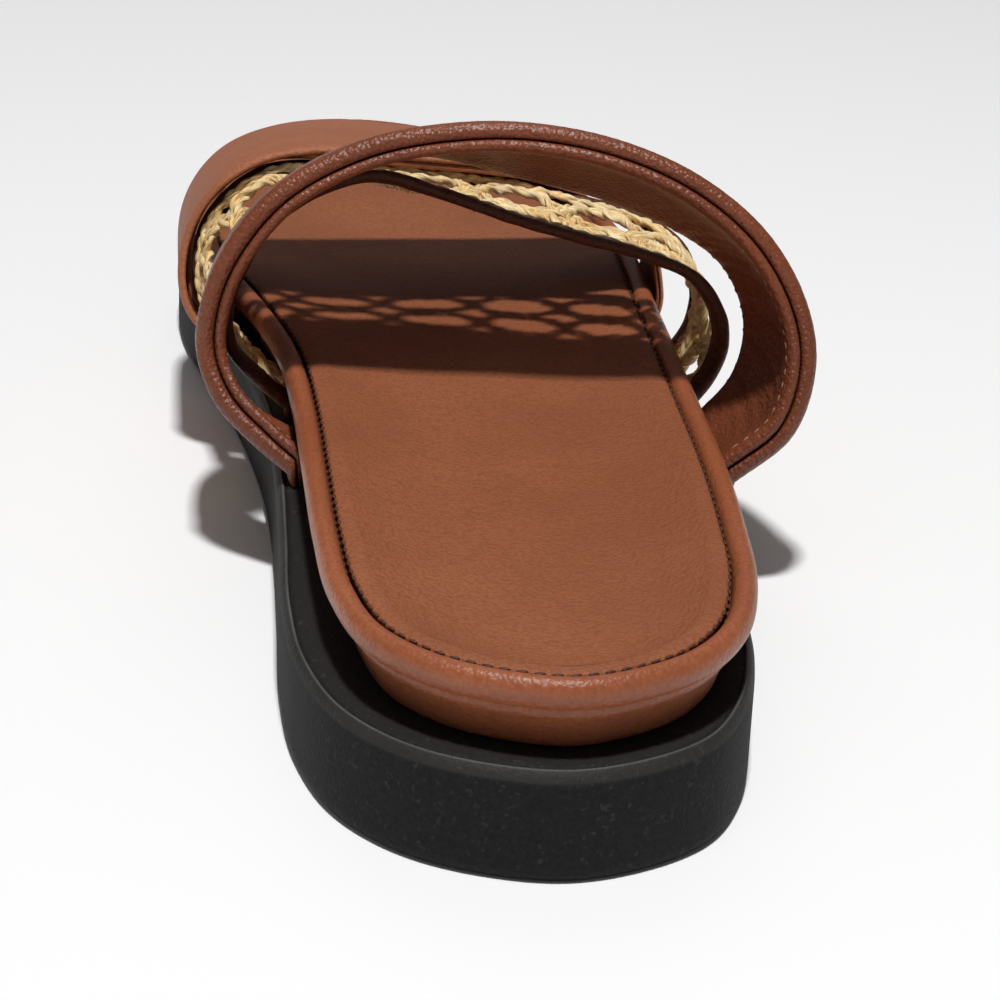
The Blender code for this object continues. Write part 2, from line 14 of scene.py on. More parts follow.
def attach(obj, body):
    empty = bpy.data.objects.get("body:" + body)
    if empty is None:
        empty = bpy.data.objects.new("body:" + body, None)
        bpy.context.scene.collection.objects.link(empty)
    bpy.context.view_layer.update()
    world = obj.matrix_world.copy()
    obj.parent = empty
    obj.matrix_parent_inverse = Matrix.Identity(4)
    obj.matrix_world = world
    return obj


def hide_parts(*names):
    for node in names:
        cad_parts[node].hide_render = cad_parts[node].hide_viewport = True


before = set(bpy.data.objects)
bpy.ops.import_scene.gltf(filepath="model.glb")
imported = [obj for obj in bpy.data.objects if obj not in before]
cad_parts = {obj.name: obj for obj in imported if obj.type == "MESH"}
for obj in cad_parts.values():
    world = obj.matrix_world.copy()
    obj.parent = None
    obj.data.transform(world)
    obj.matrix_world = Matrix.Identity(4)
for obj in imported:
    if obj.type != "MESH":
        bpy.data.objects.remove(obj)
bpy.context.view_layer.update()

# ---------------------------------------------------------------------------------------
# Outsole
# One slab of black foam rubber, moulded to its outline and cut flat. A fine lip runs round
# the top, with a bevel outside it, both with a painted highlight, and the toe is sprung a little off the
# floor.
# ---------------------------------------------------------------------------------------
MM = 0.001
GAP = 0.3                    # clearance between two pieces that touch
HEEL_BACK = Vector((-3.1, -128.5, 0.0))   # where the back of the heel meets the floor

SOLE_LENGTH = 257.0
SOLE_HEIGHT = 16.0           # slab at the heel
SOLE_THINNING = 2.6          # how much lower it is under the toes
RIM_HEIGHT = 27.8            # top of the footbed rim at the heel
RIM_THINNING = 5.2
THINNING_FROM = 118.0
THINNING_TO = 205.0
TOE_SPRING = 2.2
TOE_SPRING_FROM = 192.0
TOE_SPRING_TO = SOLE_LENGTH + 25.0   # past the tip, where the toe is still rising
TOE_SPRING_GAIN = 1.6        # brings the tip 2.9 off the floor
SOLE_STATIONS = 150          # sections along the sole
OUTLINE_POINTS = 2400        # points round an outline before it is cut into sections
MERGE_DISTANCE = 2e-6        # in metres, closes the seams and poles of a mesh

# Outline of the slab: distance from the heel, medial edge and lateral edge.
SOLE_OUTLINE = (
    (0.0, 0.0, 0.0), (2.6, -11.1, 11.0), (8.6, -20.8, 20.2), (19.0, -28.4, 26.4),
    (34.0, -32.4, 30.5), (52.0, -33.2, 32.6), (75.0, -32.0, 34.6), (98.0, -31.0, 36.2),
    (120.0, -31.0, 37.8), (145.0, -33.0, 39.1), (168.0, -36.5, 41.0), (188.0, -40.0, 42.0),
    (206.0, -41.0, 40.3), (224.0, -37.8, 35.0), (240.0, -30.4, 25.4), (251.0, -20.0, 12.6),
    (SOLE_LENGTH, -5.5, -5.5),
)


def smooth_step(value, start, end):
    """Rise from 0 at start to 1 at end, level at both."""
    share = np.clip((np.asarray(value, float) - start) / (end - start), 0.0, 1.0)
    return share * share * (3.0 - 2.0 * share)


def floor_line(y):
    """Underside of the outsole: on the floor, then sprung up at the toe."""
    return TOE_SPRING * smooth_step(y, TOE_SPRING_FROM, TOE_SPRING_TO) * TOE_SPRING_GAIN


def ledge_line(y):
    """Top of the outsole."""
    return SOLE_HEIGHT - SOLE_THINNING * smooth_step(y, THINNING_FROM, THINNING_TO) + floor_line(y)


def rim_line(y):
    """Top of the footbed's rolled rim."""
    return RIM_HEIGHT - RIM_THINNING * smooth_step(y, THINNING_FROM, THINNING_TO) + floor_line(y)


def spline(points, share, closed=False):
    """Points at the given shares, 0 to 1, of a smooth curve through the rows of points."""
    points = np.asarray(points, float)
    if closed:
        points = np.vstack([points[-2:-1], points, points[1:2]])
    else:
        points = np.vstack([2 * points[0] - points[1], points, 2 * points[-1] - points[-2]])
    steps = np.sqrt(np.linalg.norm(np.diff(points, axis=0), axis=1))
    knots = np.concatenate([[0.0], np.cumsum(steps)])
    place = knots[1] + np.asarray(share, float) * (knots[-2] - knots[1])
    k = np.clip(np.searchsorted(knots, place, side="right") - 1, 1, len(points) - 3)
    t0, t1, t2, t3 = (knots[k + i][:, None] for i in (-1, 0, 1, 2))
    p0, p1, p2, p3 = (points[k + i] for i in (-1, 0, 1, 2))
    place = place[:, None]
    a1 = ((t1 - place) * p0 + (place - t0) * p1) / (t1 - t0)
    a2 = ((t2 - place) * p1 + (place - t1) * p2) / (t2 - t1)
    a3 = ((t3 - place) * p2 + (place - t2) * p3) / (t3 - t2)
    b1 = ((t2 - place) * a1 + (place - t0) * a2) / (t2 - t0)
    b2 = ((t3 - place) * a2 + (place - t1) * a3) / (t3 - t1)
    return ((t2 - place) * b1 + (place - t1) * b2) / (t2 - t1)


def outline_ring(rows, inset):
    """Closed ring of (x, y) set in from an outline: up the lateral side, down the medial one.

    Point i and point -i share nearly the same y, so the ring can be bridged across.
    """
    lateral = [(row[2], row[0]) for row in rows]
    medial = [(row[1], row[0]) for row in rows[-2::-1]]
    curve = spline(lateral + medial, np.linspace(0.0, 1.0, OUTLINE_POINTS), closed=True)
    tip = int(np.argmax(curve[:, 1]))
    tangent = np.gradient(curve, axis=0)
    tangent /= np.linalg.norm(tangent, axis=1)[:, None]
    inward = np.stack([-tangent[:, 1], tangent[:, 0]], axis=1)
    curve = curve + inward * inset
    sides = []
    for side in (curve[:tip + 1], curve[tip:][::-1]):
        low, high = side[0, 1], side[-1, 1]
        turn = np.linspace(0.0, math.pi, SOLE_STATIONS + 1)
        y = low + (high - low) * 0.5 * (1.0 - np.cos(turn))
        rising = np.maximum.accumulate(side[:, 1]) + np.arange(len(side)) * 1e-9
        sides.append(np.stack([np.interp(y, rising, side[:, 0]), y], axis=1))
    return np.vstack([sides[0], sides[1][-2:0:-1]])


def piece_of(name, points, faces, finish, notes=None):
    """Make a piece from points in millimetres, with a note on each point if it has any."""
    mesh = bpy.data.meshes.new(name)
    places = (np.asarray(points, float) + np.array(HEEL_BACK)) * MM
    mesh.from_pydata(places.tolist(), [], faces)
    for note, values in (notes or {}).items():
        flat = np.asarray(values, np.float32)
        kind = "FLOAT" if flat.ndim == 1 else "FLOAT_VECTOR"
        layer = mesh.attributes.new(note, kind, "POINT")
        layer.data.foreach_set("value" if flat.ndim == 1 else "vector", flat.ravel())
    shell = bmesh.new()
    shell.from_mesh(mesh)
    bmesh.ops.remove_doubles(shell, verts=shell.verts, dist=MERGE_DISTANCE)
    bmesh.ops.recalc_face_normals(shell, faces=shell.faces)
    shell.to_mesh(mesh)
    shell.free()
    mesh.shade_smooth()
    mesh.materials.append(finish)
    made = bpy.data.objects.new(name, mesh)
    bpy.context.scene.collection.objects.link(made)
    return made


def loop_faces(rings, size):
    """Quads between closed rings of the same size, counted from the first point of all."""
    faces = []
    for r in range(rings - 1):
        for i in range(size):
            j = (i + 1) % size
            faces.append((r * size + i, r * size + j, (r + 1) * size + j, (r + 1) * size + i))
    return faces


def lid(points, faces, first, size, columns, dip):
    """Close a sole-shaped ring across its width, with dip(y, share) taken off its height."""
    ladder = []
    for i in range(SOLE_STATIONS + 1):
        lateral, medial = first + i, first + (size - i) % size
        if lateral == medial:
            ladder.append([lateral])
            continue
        row = [lateral]
        for share in columns:
            point = points[lateral] * (1.0 - share) + points[medial] * share
            point[2] -= dip(point[1], share)
            row.append(len(points))
            points.append(point)
        ladder.append(row + [medial])
    for low, high in zip(ladder, ladder[1:]):
        low = low * len(high) if len(low) == 1 else low
        high = high * len(low) if len(high) == 1 else high
        for k in range(len(low) - 1):
            faces.append(tuple(dict.fromkeys((low[k], low[k + 1], high[k + 1], high[k]))))


def no_dip(y, share):
    """A flat lid."""
    return 0.0


class Tone:
    """A varying number, colour or direction of a finish. Sums on it add Math nodes."""

    def __init__(self, finish, socket):
        self.finish = finish
        self.socket = socket

    def sum(self, operation, first, second):
        """Join two values with one Math node."""
        return self.finish.node("Math", {"operation": operation}, {0: first, 1: second})

    def __add__(self, other):
        return self.sum("ADD", self, other)

    def __radd__(self, other):
        return self.sum("ADD", other, self)

    def __sub__(self, other):
        return self.sum("SUBTRACT", self, other)

    def __rsub__(self, other):
        return self.sum("SUBTRACT", other, self)

    def __mul__(self, other):
        return self.sum("MULTIPLY", self, other)

    def __rmul__(self, other):
        return self.sum("MULTIPLY", other, self)


class Finish:
    """One finish of the sandal: a material with a shader, and the nodes that feed it."""

    def __init__(self, name, constants):
        self.material = bpy.data.materials.new(name)
        self.material.use_nodes = True
        self.tree = self.material.node_tree
        self.shader = self.tree.nodes["Principled BSDF"]
        for socket, value in constants.items():
            self.shader.inputs[socket].default_value = value

    def node(self, kind, settings, values, result=0):
        """Add a node: its settings first, then the values or links of its sockets."""
        made = self.tree.nodes.new("ShaderNode" + kind)
        for setting, value in settings.items():
            setattr(made, setting, value)
        shown = [s for s in made.inputs if s.enabled]
        for key, value in values.items():
            socket = shown[key] if isinstance(key, int) else next(s for s in shown if s.name == key)
            if isinstance(value, Tone):
                self.tree.links.new(value.socket, socket)
            else:
                socket.default_value = value
        return Tone(self, [s for s in made.outputs if s.enabled][result])

    def mix(self, share, first, second):
        """Blend two colours by a share."""
        return self.node("Mix", {"data_type": "RGBA"}, {"Factor": share, "A": first, "B": second})

    def noise(self, where, scale, detail=2.0, roughness=0.5):
        """Soft cloudy noise from 0 to 1."""
        return self.node("TexNoise", {}, {"Vector": where, "Scale": scale, "Detail": detail,
                                          "Roughness": roughness})

    def level(self, value, low, high):
        """Rise smoothly from 0 to 1 as a value goes from low to high."""
        return self.node("MapRange", {"interpolation_type": "SMOOTHSTEP"},
                         {"Value": value, "From Min": low, "From Max": high})

    def wear(self, **sockets):
        """Feed the shader's varying sockets."""
        for name, value in sockets.items():
            self.tree.links.new(value.socket, self.shader.inputs[name.replace("_", " ")])
        return self.material


def foam_rubber():
    """Black foam rubber: fine cells, pale dust on the ledge, and a painted highlight on the bevel and the
    lip.
    """
    finish = Finish("black_rubber", {"Metallic": 0.0, "Specular IOR Level": 0.25})
    where = finish.node("TexCoord", {}, {}, 3)
    bevel = finish.node("Attribute", {"attribute_name": "bevel"}, {}, 2)
    ledge = finish.node("Attribute", {"attribute_name": "ledge"}, {}, 2)
    lip = finish.node("Attribute", {"attribute_name": "lip"}, {}, 2)
    cells = finish.noise(where, 1300.0, 3.0, 0.7)
    cloud = finish.noise(where, 90.0, 4.0, 0.6)
    specks = finish.level(finish.noise(where, 1050.0, 2.0, 0.6), 0.58, 0.72)
    black = (0.0036, 0.0036, 0.0035, 1.0)
    grey = (0.0110, 0.0108, 0.0105, 1.0)
    base = finish.mix(finish.level(cells, 0.32, 0.68), black, grey)
    base = finish.mix(ledge * (cells * 0.6 + 0.4), base, (0.017, 0.0152, 0.0142, 1.0))
    # Painted highlight: the bevel is painted paler, as where light catches it.
    base = finish.mix(bevel * (cloud * 0.7 + 0.3), base, (0.034, 0.032, 0.030, 1.0))
    base = finish.mix(specks * (cloud * 0.9), base, (0.050, 0.048, 0.044, 1.0))
    # Painted highlight: a pale line along the lip.
    base = finish.mix(lip * (cloud * 0.8 + 0.2), base, (0.140, 0.132, 0.122, 1.0))
    height = cells + cloud * 0.5 + specks * 0.5
    bump = finish.node("Bump", {}, {"Strength": 0.7, "Distance": 0.00028, "Height": height})
    return finish.wear(Base_Color=base, Roughness=0.72 - bevel * 0.16 + cells * 0.1, Normal=bump)


black_rubber = foam_rubber()
sole_rows = (
    # inset, height above a line, which line, bevel, lip, ledge
    (1.9, 0.0, floor_line, 0, 0, 0), (1.2, 0.12, floor_line, 0, 0, 0),
    (0.6, 0.48, floor_line, 0, 0, 0), (0.2, 1.1, floor_line, 0, 0, 0),
    (0.0, 2.0, floor_line, 0, 0, 0), (0.0, 3.0, floor_line, 0, 0, 0),
    (0.0, -4.2, ledge_line, 0, 0, 0), (0.0, -2.0, ledge_line, 0, 0, 0),
    (0.03, -1.62, ledge_line, 0.2, 0, 0), (0.14, -1.30, ledge_line, 1, 0, 0),
    (0.36, -0.84, ledge_line, 1, 0, 0), (0.66, -0.40, ledge_line, 1, 0, 0),
    (0.94, -0.12, ledge_line, 1, 0, 0), (1.06, -0.02, ledge_line, 1, 0.6, 0),
    (1.18, 0.06, ledge_line, 0.5, 1, 0), (1.32, 0.03, ledge_line, 0, 0.8, 0.3),
    (1.46, -0.14, ledge_line, 0, 0, 0), (1.62, -0.30, ledge_line, 0, 0, 0),
    (1.8, -0.28, ledge_line, 0, 0, 0.2), (2.0, -0.08, ledge_line, 0, 0, 1),
    (2.3, -0.02, ledge_line, 0, 0, 1), (4.0, -0.02, ledge_line, 0, 0, 1),
    (8.0, -0.02, ledge_line, 0, 0, 1),
)
sole_points = []
sole_notes = {"bevel": [], "lip": [], "ledge": []}
for inset, rise, line, bevel, lip, ledge in sole_rows:
    flat = outline_ring(SOLE_OUTLINE, inset)
    sole_points += list(np.column_stack([flat, line(flat[:, 1]) + rise]))
    for note, value in (("bevel", bevel), ("lip", lip), ("ledge", ledge)):
        sole_notes[note] += [value] * len(flat)
ring_size = 2 * SOLE_STATIONS
sole_faces = loop_faces(len(sole_rows), ring_size)
lid(sole_points, sole_faces, 0, ring_size, (), no_dip)
lid(sole_points, sole_faces, ring_size * (len(sole_rows) - 1), ring_size, (), no_dip)
outsole = piece_of("moulded_outsole", sole_points, sole_faces, black_rubber, sole_notes)
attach(outsole, "root")
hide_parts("outsole")

# ---------------------------------------------------------------------------------------
# Footbed
# A firm bed wrapped in tan leather. The leather is drawn over a padded rim, turned in under
# it so that a soft crease runs round, and pulled tight down a wall that leans in to the sole.
# ---------------------------------------------------------------------------------------
BED_OUTLINE = (
    (2.0, 0.8, 0.8), (4.4, -9.0, 10.2), (10.0, -18.0, 19.0), (19.5, -25.0, 25.8),
    (34.0, -28.3, 30.1), (52.0, -28.9, 32.2), (75.0, -28.6, 33.8), (98.0, -28.3, 34.5),
    (120.0, -28.9, 35.1), (145.0, -32.2, 36.3), (168.0, -35.9, 38.2), (188.0, -38.2, 39.0),
    (206.0, -38.0, 37.4), (224.0, -34.6, 32.2), (239.0, -27.2, 23.2), (249.0, -18.0, 11.0),
    (SOLE_LENGTH - 2.5, -5.5, -5.5),
)
RIM_WIDTH = 3.6              # rolled rim, from its outer edge to the seam
RECESS_DEPTH = 2.6           # from the rim top down to the bed under the insole
WALL_FROM = 5.8              # how far below the rim its plain wall begins
BED_GAP = 1.4 * GAP          # between the foot of the wall and the outsole
# Section of the rim and wall: inset, depth below the rim top, share of the plain wall.
BED_SECTION = (
    (RIM_WIDTH, RECESS_DEPTH, 0.0), (3.5, 1.7, 0.0), (3.2, 0.95, 0.0), (2.75, 0.42, 0.0), (2.05, 0.10, 0.0),
    (1.25, 0.12, 0.0), (0.55, 0.62, 0.0), (0.1, 1.5, 0.0), (0.06, 2.5, 0.0), (0.42, 3.5, 0.0),
    (1.15, 4.3, 0.0), (2.0, 4.75, 0.0), (2.2, 5.2, 0.0), (2.22, 5.7, 0.02), (2.45, WALL_FROM, 0.09),
    (2.9, WALL_FROM, 0.2), (3.4, WALL_FROM, 0.40), (3.9, WALL_FROM, 0.62),
    (4.45, WALL_FROM, 0.93), (4.75, WALL_FROM, 1.0),
)
HEEL_CUP = 3.0               # how far the foot surface dips below its own edge
WALL_STEPS = 64              # rings up the rim and the wall
# How dark the leather is where it is hidden from the light, from 0 to 1.
TURNED_IN_SHADE = 0.3        # inside the rim, beside the insole
CREASE_SHADE = 0.22          # in the crease under the rim
WALL_SHADE = 0.24            # further down the wall
UNDERSIDE_SHADE = 0.5


def foot_dip(y, share):
    """Dish of the foot surface: deepest in the heel cup, shallow under the toes."""
    depth = HEEL_CUP * (1.0 - 0.4 * float(smooth_step(y, 60.0, 130.0)))
    depth *= float(smooth_step(y, 0.0, 22.0)) * float(smooth_step(SOLE_LENGTH - y, 0.0, 30.0))
    return depth * (1.0 - abs(2.0 * share - 1.0) ** 3)


def tan_leather(name, colour, dark, grain, roughness, wrinkle=0.0, cloud=0.5, gloss=0.4):
    """Tan leather: a pebbled grain, slow changes of tone, and painted shade where noted."""
    finish = Finish(name, {"Metallic": 0.0, "Specular IOR Level": gloss})
    where = finish.node("TexCoord", {}, {}, 3)
    painted_shade = finish.node("Attribute", {"attribute_name": "painted_shade"}, {}, 2)
    laid = finish.node("Attribute", {"attribute_name": "laid"}, {}, 1)
    pebbles = finish.node("TexVoronoi", {"feature": "SMOOTH_F1"},
                          {"Vector": where, "Scale": 1650.0, "Smoothness": 0.5})
    fine = finish.noise(where, 3200.0, 3.0, 0.6)
    drift = finish.noise(where, 38.0, 5.0, 0.6)
    patch = finish.noise(where, 9.0, 2.0)
    mottle = finish.noise(where, 760.0, 2.0, 0.6)
    across = finish.node("Mapping", {}, {"Vector": laid, "Scale": (820.0, 110.0, 110.0)})
    folds = finish.noise(across, 1.0, 3.0, 0.65)
    base = finish.mix(finish.level(drift, 0.30, 0.72) * cloud, (*colour, 1.0), (*dark, 1.0))
    base = finish.mix(finish.level(patch, 0.45, 0.75) * 0.35, base, (*dark, 1.0))
    base = finish.mix(finish.level(pebbles, 0.36, 0.72) * 0.45, base, (*dark, 1.0))
    base = finish.mix(finish.level(mottle, 0.42, 0.72) * 0.30, base, (*dark, 1.0))
    # Painted shade: the colour falls towards a tenth of itself where the shade note rises to 1.
    base = finish.mix(painted_shade, base, tuple(0.10 * c for c in colour) + (1.0,))
    height = fine * 0.35 - pebbles * grain + mottle * 0.10 + drift * 0.25
    if wrinkle:
        height = height + finish.level(folds, 0.30, 0.62) * wrinkle
    bump = finish.node("Bump", {}, {"Strength": 0.6, "Distance": 0.00030, "Height": height})
    rough = roughness + (fine - 0.5) * 0.18 + finish.level(drift, 0.3, 0.7) * 0.06
    return finish.wear(Base_Color=base, Roughness=rough, Normal=bump)


bed_leather = tan_leather("bed_leather", (0.385, 0.114, 0.046), (0.240, 0.066, 0.024), 0.6, 0.35,
                          gloss=0.45)
bed_section = spline(BED_SECTION, np.linspace(0.0, 1.0, WALL_STEPS))
bed_points = []
bed_painted_shade = []
for inset, below, wall in bed_section:
    flat = outline_ring(BED_OUTLINE, inset)
    rim = rim_line(flat[:, 1])
    drop = rim - ledge_line(flat[:, 1]) - BED_GAP - WALL_FROM
    bed_points += list(np.column_stack([flat, rim - below - wall * drop]))
    # Painted shade inside the rim beside the insole, in the crease under the rim and down the wall.
    turned_in = float(smooth_step(inset, 3.3, RIM_WIDTH)) * (below < 3.0) * TURNED_IN_SHADE
    bed_painted_shade += [turned_in + CREASE_SHADE * min(1.0, 4.0 * wall) + WALL_SHADE * wall] * len(flat)
bed_faces = loop_faces(WALL_STEPS, ring_size)
columns = 0.5 - 0.5 * np.cos(np.linspace(0.0, math.pi, 41)[1:-1])
lid(bed_points, bed_faces, 0, ring_size, columns, foot_dip)
lid(bed_points, bed_faces, ring_size * (WALL_STEPS - 1), ring_size, (), no_dip)
# Painted shade on the underside of the bed.
bed_painted_shade += [UNDERSIDE_SHADE] * (len(bed_points) - len(bed_painted_shade))
footbed = piece_of("wrapped_footbed", bed_points, bed_faces, bed_leather, {"painted_shade": bed_painted_shade})
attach(footbed, "root")
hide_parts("footbed")

# ---------------------------------------------------------------------------------------
# Insole
# A leather sock over thin foam, laid in the recess of the footbed. It is cupped for the
# heel, rises to its edge, and its edge is sewn down close beside the rim.
# ---------------------------------------------------------------------------------------
INSOLE_EDGE = RIM_WIDTH + 0.45
# Section of the edge, from the underside up: inset and depth below the rim top.
INSOLE_SECTION = (
    (INSOLE_EDGE + 0.6, 2.15), (INSOLE_EDGE + 0.1, 2.05), (INSOLE_EDGE - 0.08, 1.6),
    (INSOLE_EDGE - 0.16, 1.2), (INSOLE_EDGE - 0.06, 0.92), (INSOLE_EDGE + 0.22, 0.74),
    (INSOLE_EDGE + 0.6, 0.66), (INSOLE_EDGE + 1.1, 0.61), (INSOLE_EDGE + 1.7, 0.60),
    (INSOLE_EDGE + 2.4, 0.68),
)
INSOLE_SHADE = 0.3           # how dark the lower part of its edge is
SHADE_DEPTH = 1.1            # how far below the rim top that part begins

insole_leather = tan_leather("insole_leather", (0.342, 0.116, 0.051), (0.220, 0.068, 0.028), 1.2, 0.48,
                             gloss=0.22)
insole_points = []
insole_painted_shade = []
for inset, below in INSOLE_SECTION:
    flat = outline_ring(BED_OUTLINE, inset)
    insole_points += list(np.column_stack([flat, rim_line(flat[:, 1]) - below]))
    # Painted shade on the lower part of the edge, sunk beside the rim.
    insole_painted_shade += [INSOLE_SHADE * (below > SHADE_DEPTH)] * len(flat)
insole_faces = loop_faces(len(INSOLE_SECTION), ring_size)
lid(insole_points, insole_faces, 0, ring_size, columns, foot_dip)
lid(insole_points, insole_faces, ring_size * (len(INSOLE_SECTION) - 1), ring_size, columns, foot_dip)
insole_painted_shade += [0.0] * (len(insole_points) - len(insole_painted_shade))
insole = piece_of("cupped_insole", insole_points, insole_faces, insole_leather, {"painted_shade": insole_painted_shade})
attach(insole, "root")
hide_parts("insole")

# ---------------------------------------------------------------------------------------
# Rim stitching
# A lockstitch in dark waxed thread that holds the insole's edge down to the footbed. It
# sinks into the leather right beside the rolled rim and runs once round the foot.
# ---------------------------------------------------------------------------------------
RIM_STITCH_INSET = INSOLE_EDGE - 0.15
RIM_STITCH_DEPTH = 0.84      # middle of the thread, below the rim top


def add(tree, kind, links, **settings):
    """Add a node to a geometry tree: its settings, then the values or links of its sockets."""
    made = tree.nodes.new(kind)
    for setting, value in settings.items():
        setattr(made, setting, value)
    for socket, value in links.items():
        if isinstance(value, bpy.types.NodeSocket):
            tree.links.new(value, made.inputs[socket])
        else:
            made.inputs[socket].default_value = value
    return made


def new_tree(name, sizes, material):
    """A geometry tree with a path, named sizes and a material as its inputs."""
    tree = bpy.data.node_groups.new(name, "GeometryNodeTree")
    face = tree.interface
    face.new_socket("Path", in_out="INPUT", socket_type="NodeSocketGeometry")
    for size in sizes:
        face.new_socket(size, in_out="INPUT", socket_type="NodeSocketFloat")
    face.new_socket(material, in_out="INPUT", socket_type="NodeSocketMaterial")
    face.new_socket("Made", in_out="OUTPUT", socket_type="NodeSocketGeometry")
    return tree, add(tree, "NodeGroupInput", {}).outputs


def stitch_row():
    """Tree that sets stitches along a path, flat on the side that the path's note faces."""
    sizes = ("Pitch", "Stitch length", "Thread width", "Thread height", "Slant")
    tree, given = new_tree("Stitch row", sizes, "Thread")
    path = add(tree, "GeometryNodeMeshToCurve", {"Mesh": given["Path"]})
    spaced = add(tree, "GeometryNodeResampleCurve", {"Curve": path.outputs[0], "Length": given["Pitch"]},
                 mode="LENGTH")
    facing = add(tree, "GeometryNodeInputNamedAttribute", {"Name": "facing"}, data_type="FLOAT_VECTOR")
    tangent = add(tree, "GeometryNodeInputTangent", {})
    laid = add(tree, "FunctionNodeAxesToRotation", {0: facing.outputs["Attribute"], 1: tangent.outputs[0]},
               primary_axis="Z", secondary_axis="X")
    wobble = add(tree, "FunctionNodeRandomValue", {2: -0.09, 3: 0.09, "Seed": 7}, data_type="FLOAT")
    lean = add(tree, "ShaderNodeMath", {0: wobble.outputs[1], 1: given["Slant"]}, operation="ADD")
    turn = add(tree, "ShaderNodeCombineXYZ", {"Z": lean.outputs[0]})
    turned = add(tree, "FunctionNodeRotateRotation", {0: laid.outputs[0], 1: turn.outputs[0]},
                 rotation_space="LOCAL")
    bead = add(tree, "GeometryNodeMeshUVSphere", {"Segments": 8, "Rings": 5, "Radius": 0.5})
    shape = add(tree, "ShaderNodeCombineXYZ", {"X": given["Stitch length"], "Y": given["Thread width"],
                                               "Z": given["Thread height"]})
    stitch = add(tree, "GeometryNodeTransform", {"Geometry": bead.outputs[0], "Scale": shape.outputs[0]})
    row = add(tree, "GeometryNodeInstanceOnPoints",
              {"Points": spaced.outputs[0], "Instance": stitch.outputs[0], "Rotation": turned.outputs[0]})
    real = add(tree, "GeometryNodeRealizeInstances", {0: row.outputs[0]})
    smooth = add(tree, "GeometryNodeSetShadeSmooth", {0: real.outputs[0]})
    done = add(tree, "GeometryNodeSetMaterial", {"Geometry": smooth.outputs[0], "Material": given["Thread"]})
    add(tree, "NodeGroupOutput", {0: done.outputs[0]})
    return tree


def path_piece(name, paths, closed=False):
    """Edges along each path of points, with the direction that it faces noted on each point."""
    points, edges, facing = [], [], []
    for line, outward in paths:
        first = len(points)
        points += list((np.asarray(line) + np.array(HEEL_BACK)) * MM)
        facing += list(np.asarray(outward))
        edges += [(first + i, first + i + 1) for i in range(len(line) - 1)]
        if closed:
            edges.append((first + len(line) - 1, first))
    mesh = bpy.data.meshes.new(name)
    mesh.from_pydata([tuple(p) for p in points], edges, [])
    layer = mesh.attributes.new("facing", "FLOAT_VECTOR", "POINT")
    layer.data.foreach_set("vector", np.asarray(facing, np.float32).ravel())
    made = bpy.data.objects.new(name, mesh)
    bpy.context.scene.collection.objects.link(made)
    return made


def worked(piece, tree, sizes):
    """Run a tree on a piece and keep what it makes as a plain mesh."""
    modifier = piece.modifiers.new(tree.name, "NODES")
    modifier.node_group = tree
    for item in tree.interface.items_tree:
        if item.name in sizes:
            modifier[item.identifier] = sizes[item.name]
    bpy.context.view_layer.update()
    made = bpy.data.meshes.new_from_object(piece.evaluated_get(bpy.context.evaluated_depsgraph_get()))
    piece.modifiers.remove(modifier)
    piece.data = made
    return piece


def waxed_thread(name, colour, roughness):
    """Waxed sewing thread: a tight twist and a few paler fibres."""
    finish = Finish(name, {"Metallic": 0.0, "Specular IOR Level": 0.4})
    where = finish.node("TexCoord", {}, {}, 3)
    ply = finish.noise(where, 2200.0, 2.0)
    darker = tuple(0.6 * c for c in colour) + (1.0,)
    paler = tuple(1.3 * c for c in colour) + (1.0,)
    base = finish.mix(ply, darker, paler)
    bump = finish.node("Bump", {}, {"Strength": 0.4, "Distance": 0.0001, "Height": ply})
    return finish.wear(Base_Color=base, Roughness=roughness + ply * 0.1, Normal=bump)


stitches = stitch_row()
dark_thread = waxed_thread("dark_thread", (0.085, 0.030, 0.016), 0.5)
rim_path = outline_ring(BED_OUTLINE, RIM_STITCH_INSET)
rim_path = np.column_stack([rim_path, rim_line(rim_path[:, 1]) - RIM_STITCH_DEPTH])
rim_stitches = path_piece("rim_stitches", [(rim_path, np.tile((0.0, 0.0, 1.0), (len(rim_path), 1)))], True)
worked(rim_stitches, stitches, {"Pitch": 2.3 * MM, "Stitch length": 1.55 * MM, "Thread width": 0.56 * MM,
                                "Thread height": 0.34 * MM, "Slant": 0.10, "Thread": dark_thread})
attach(rim_stitches, "root")

# ---------------------------------------------------------------------------------------
# Rear strap
# A wide leather strap over the instep, folded round a cord so that its heel edge is a firm
# roll. It is sewn just inside the roll, and its lining gathers where it turns to the sole.
# ---------------------------------------------------------------------------------------
SIDE_GAP = 0.4               # clearance between a strap and the side of the footbed
SIDE_REACH = 0.5             # how far above and below itself a strap keeps that clearance
STRAP_SECTIONS = 220
SIDE_EASE = 20               # a push fades over this part, one in so many, of the sections
SKIVE_ENDS = (0.66, 0.8)     # shares of a strap's length over which it thins
REAR_ROLL = 4.8              # thickness of the rolled edge
REAR_CROWN = 0.8             # how far the strap bulges between its two edges
ROLL_RADIUS = 1.38           # of the cord's roll that shows on the outer side
ROLL_RISE = 0.90             # middle of that roll above the middle of the strap
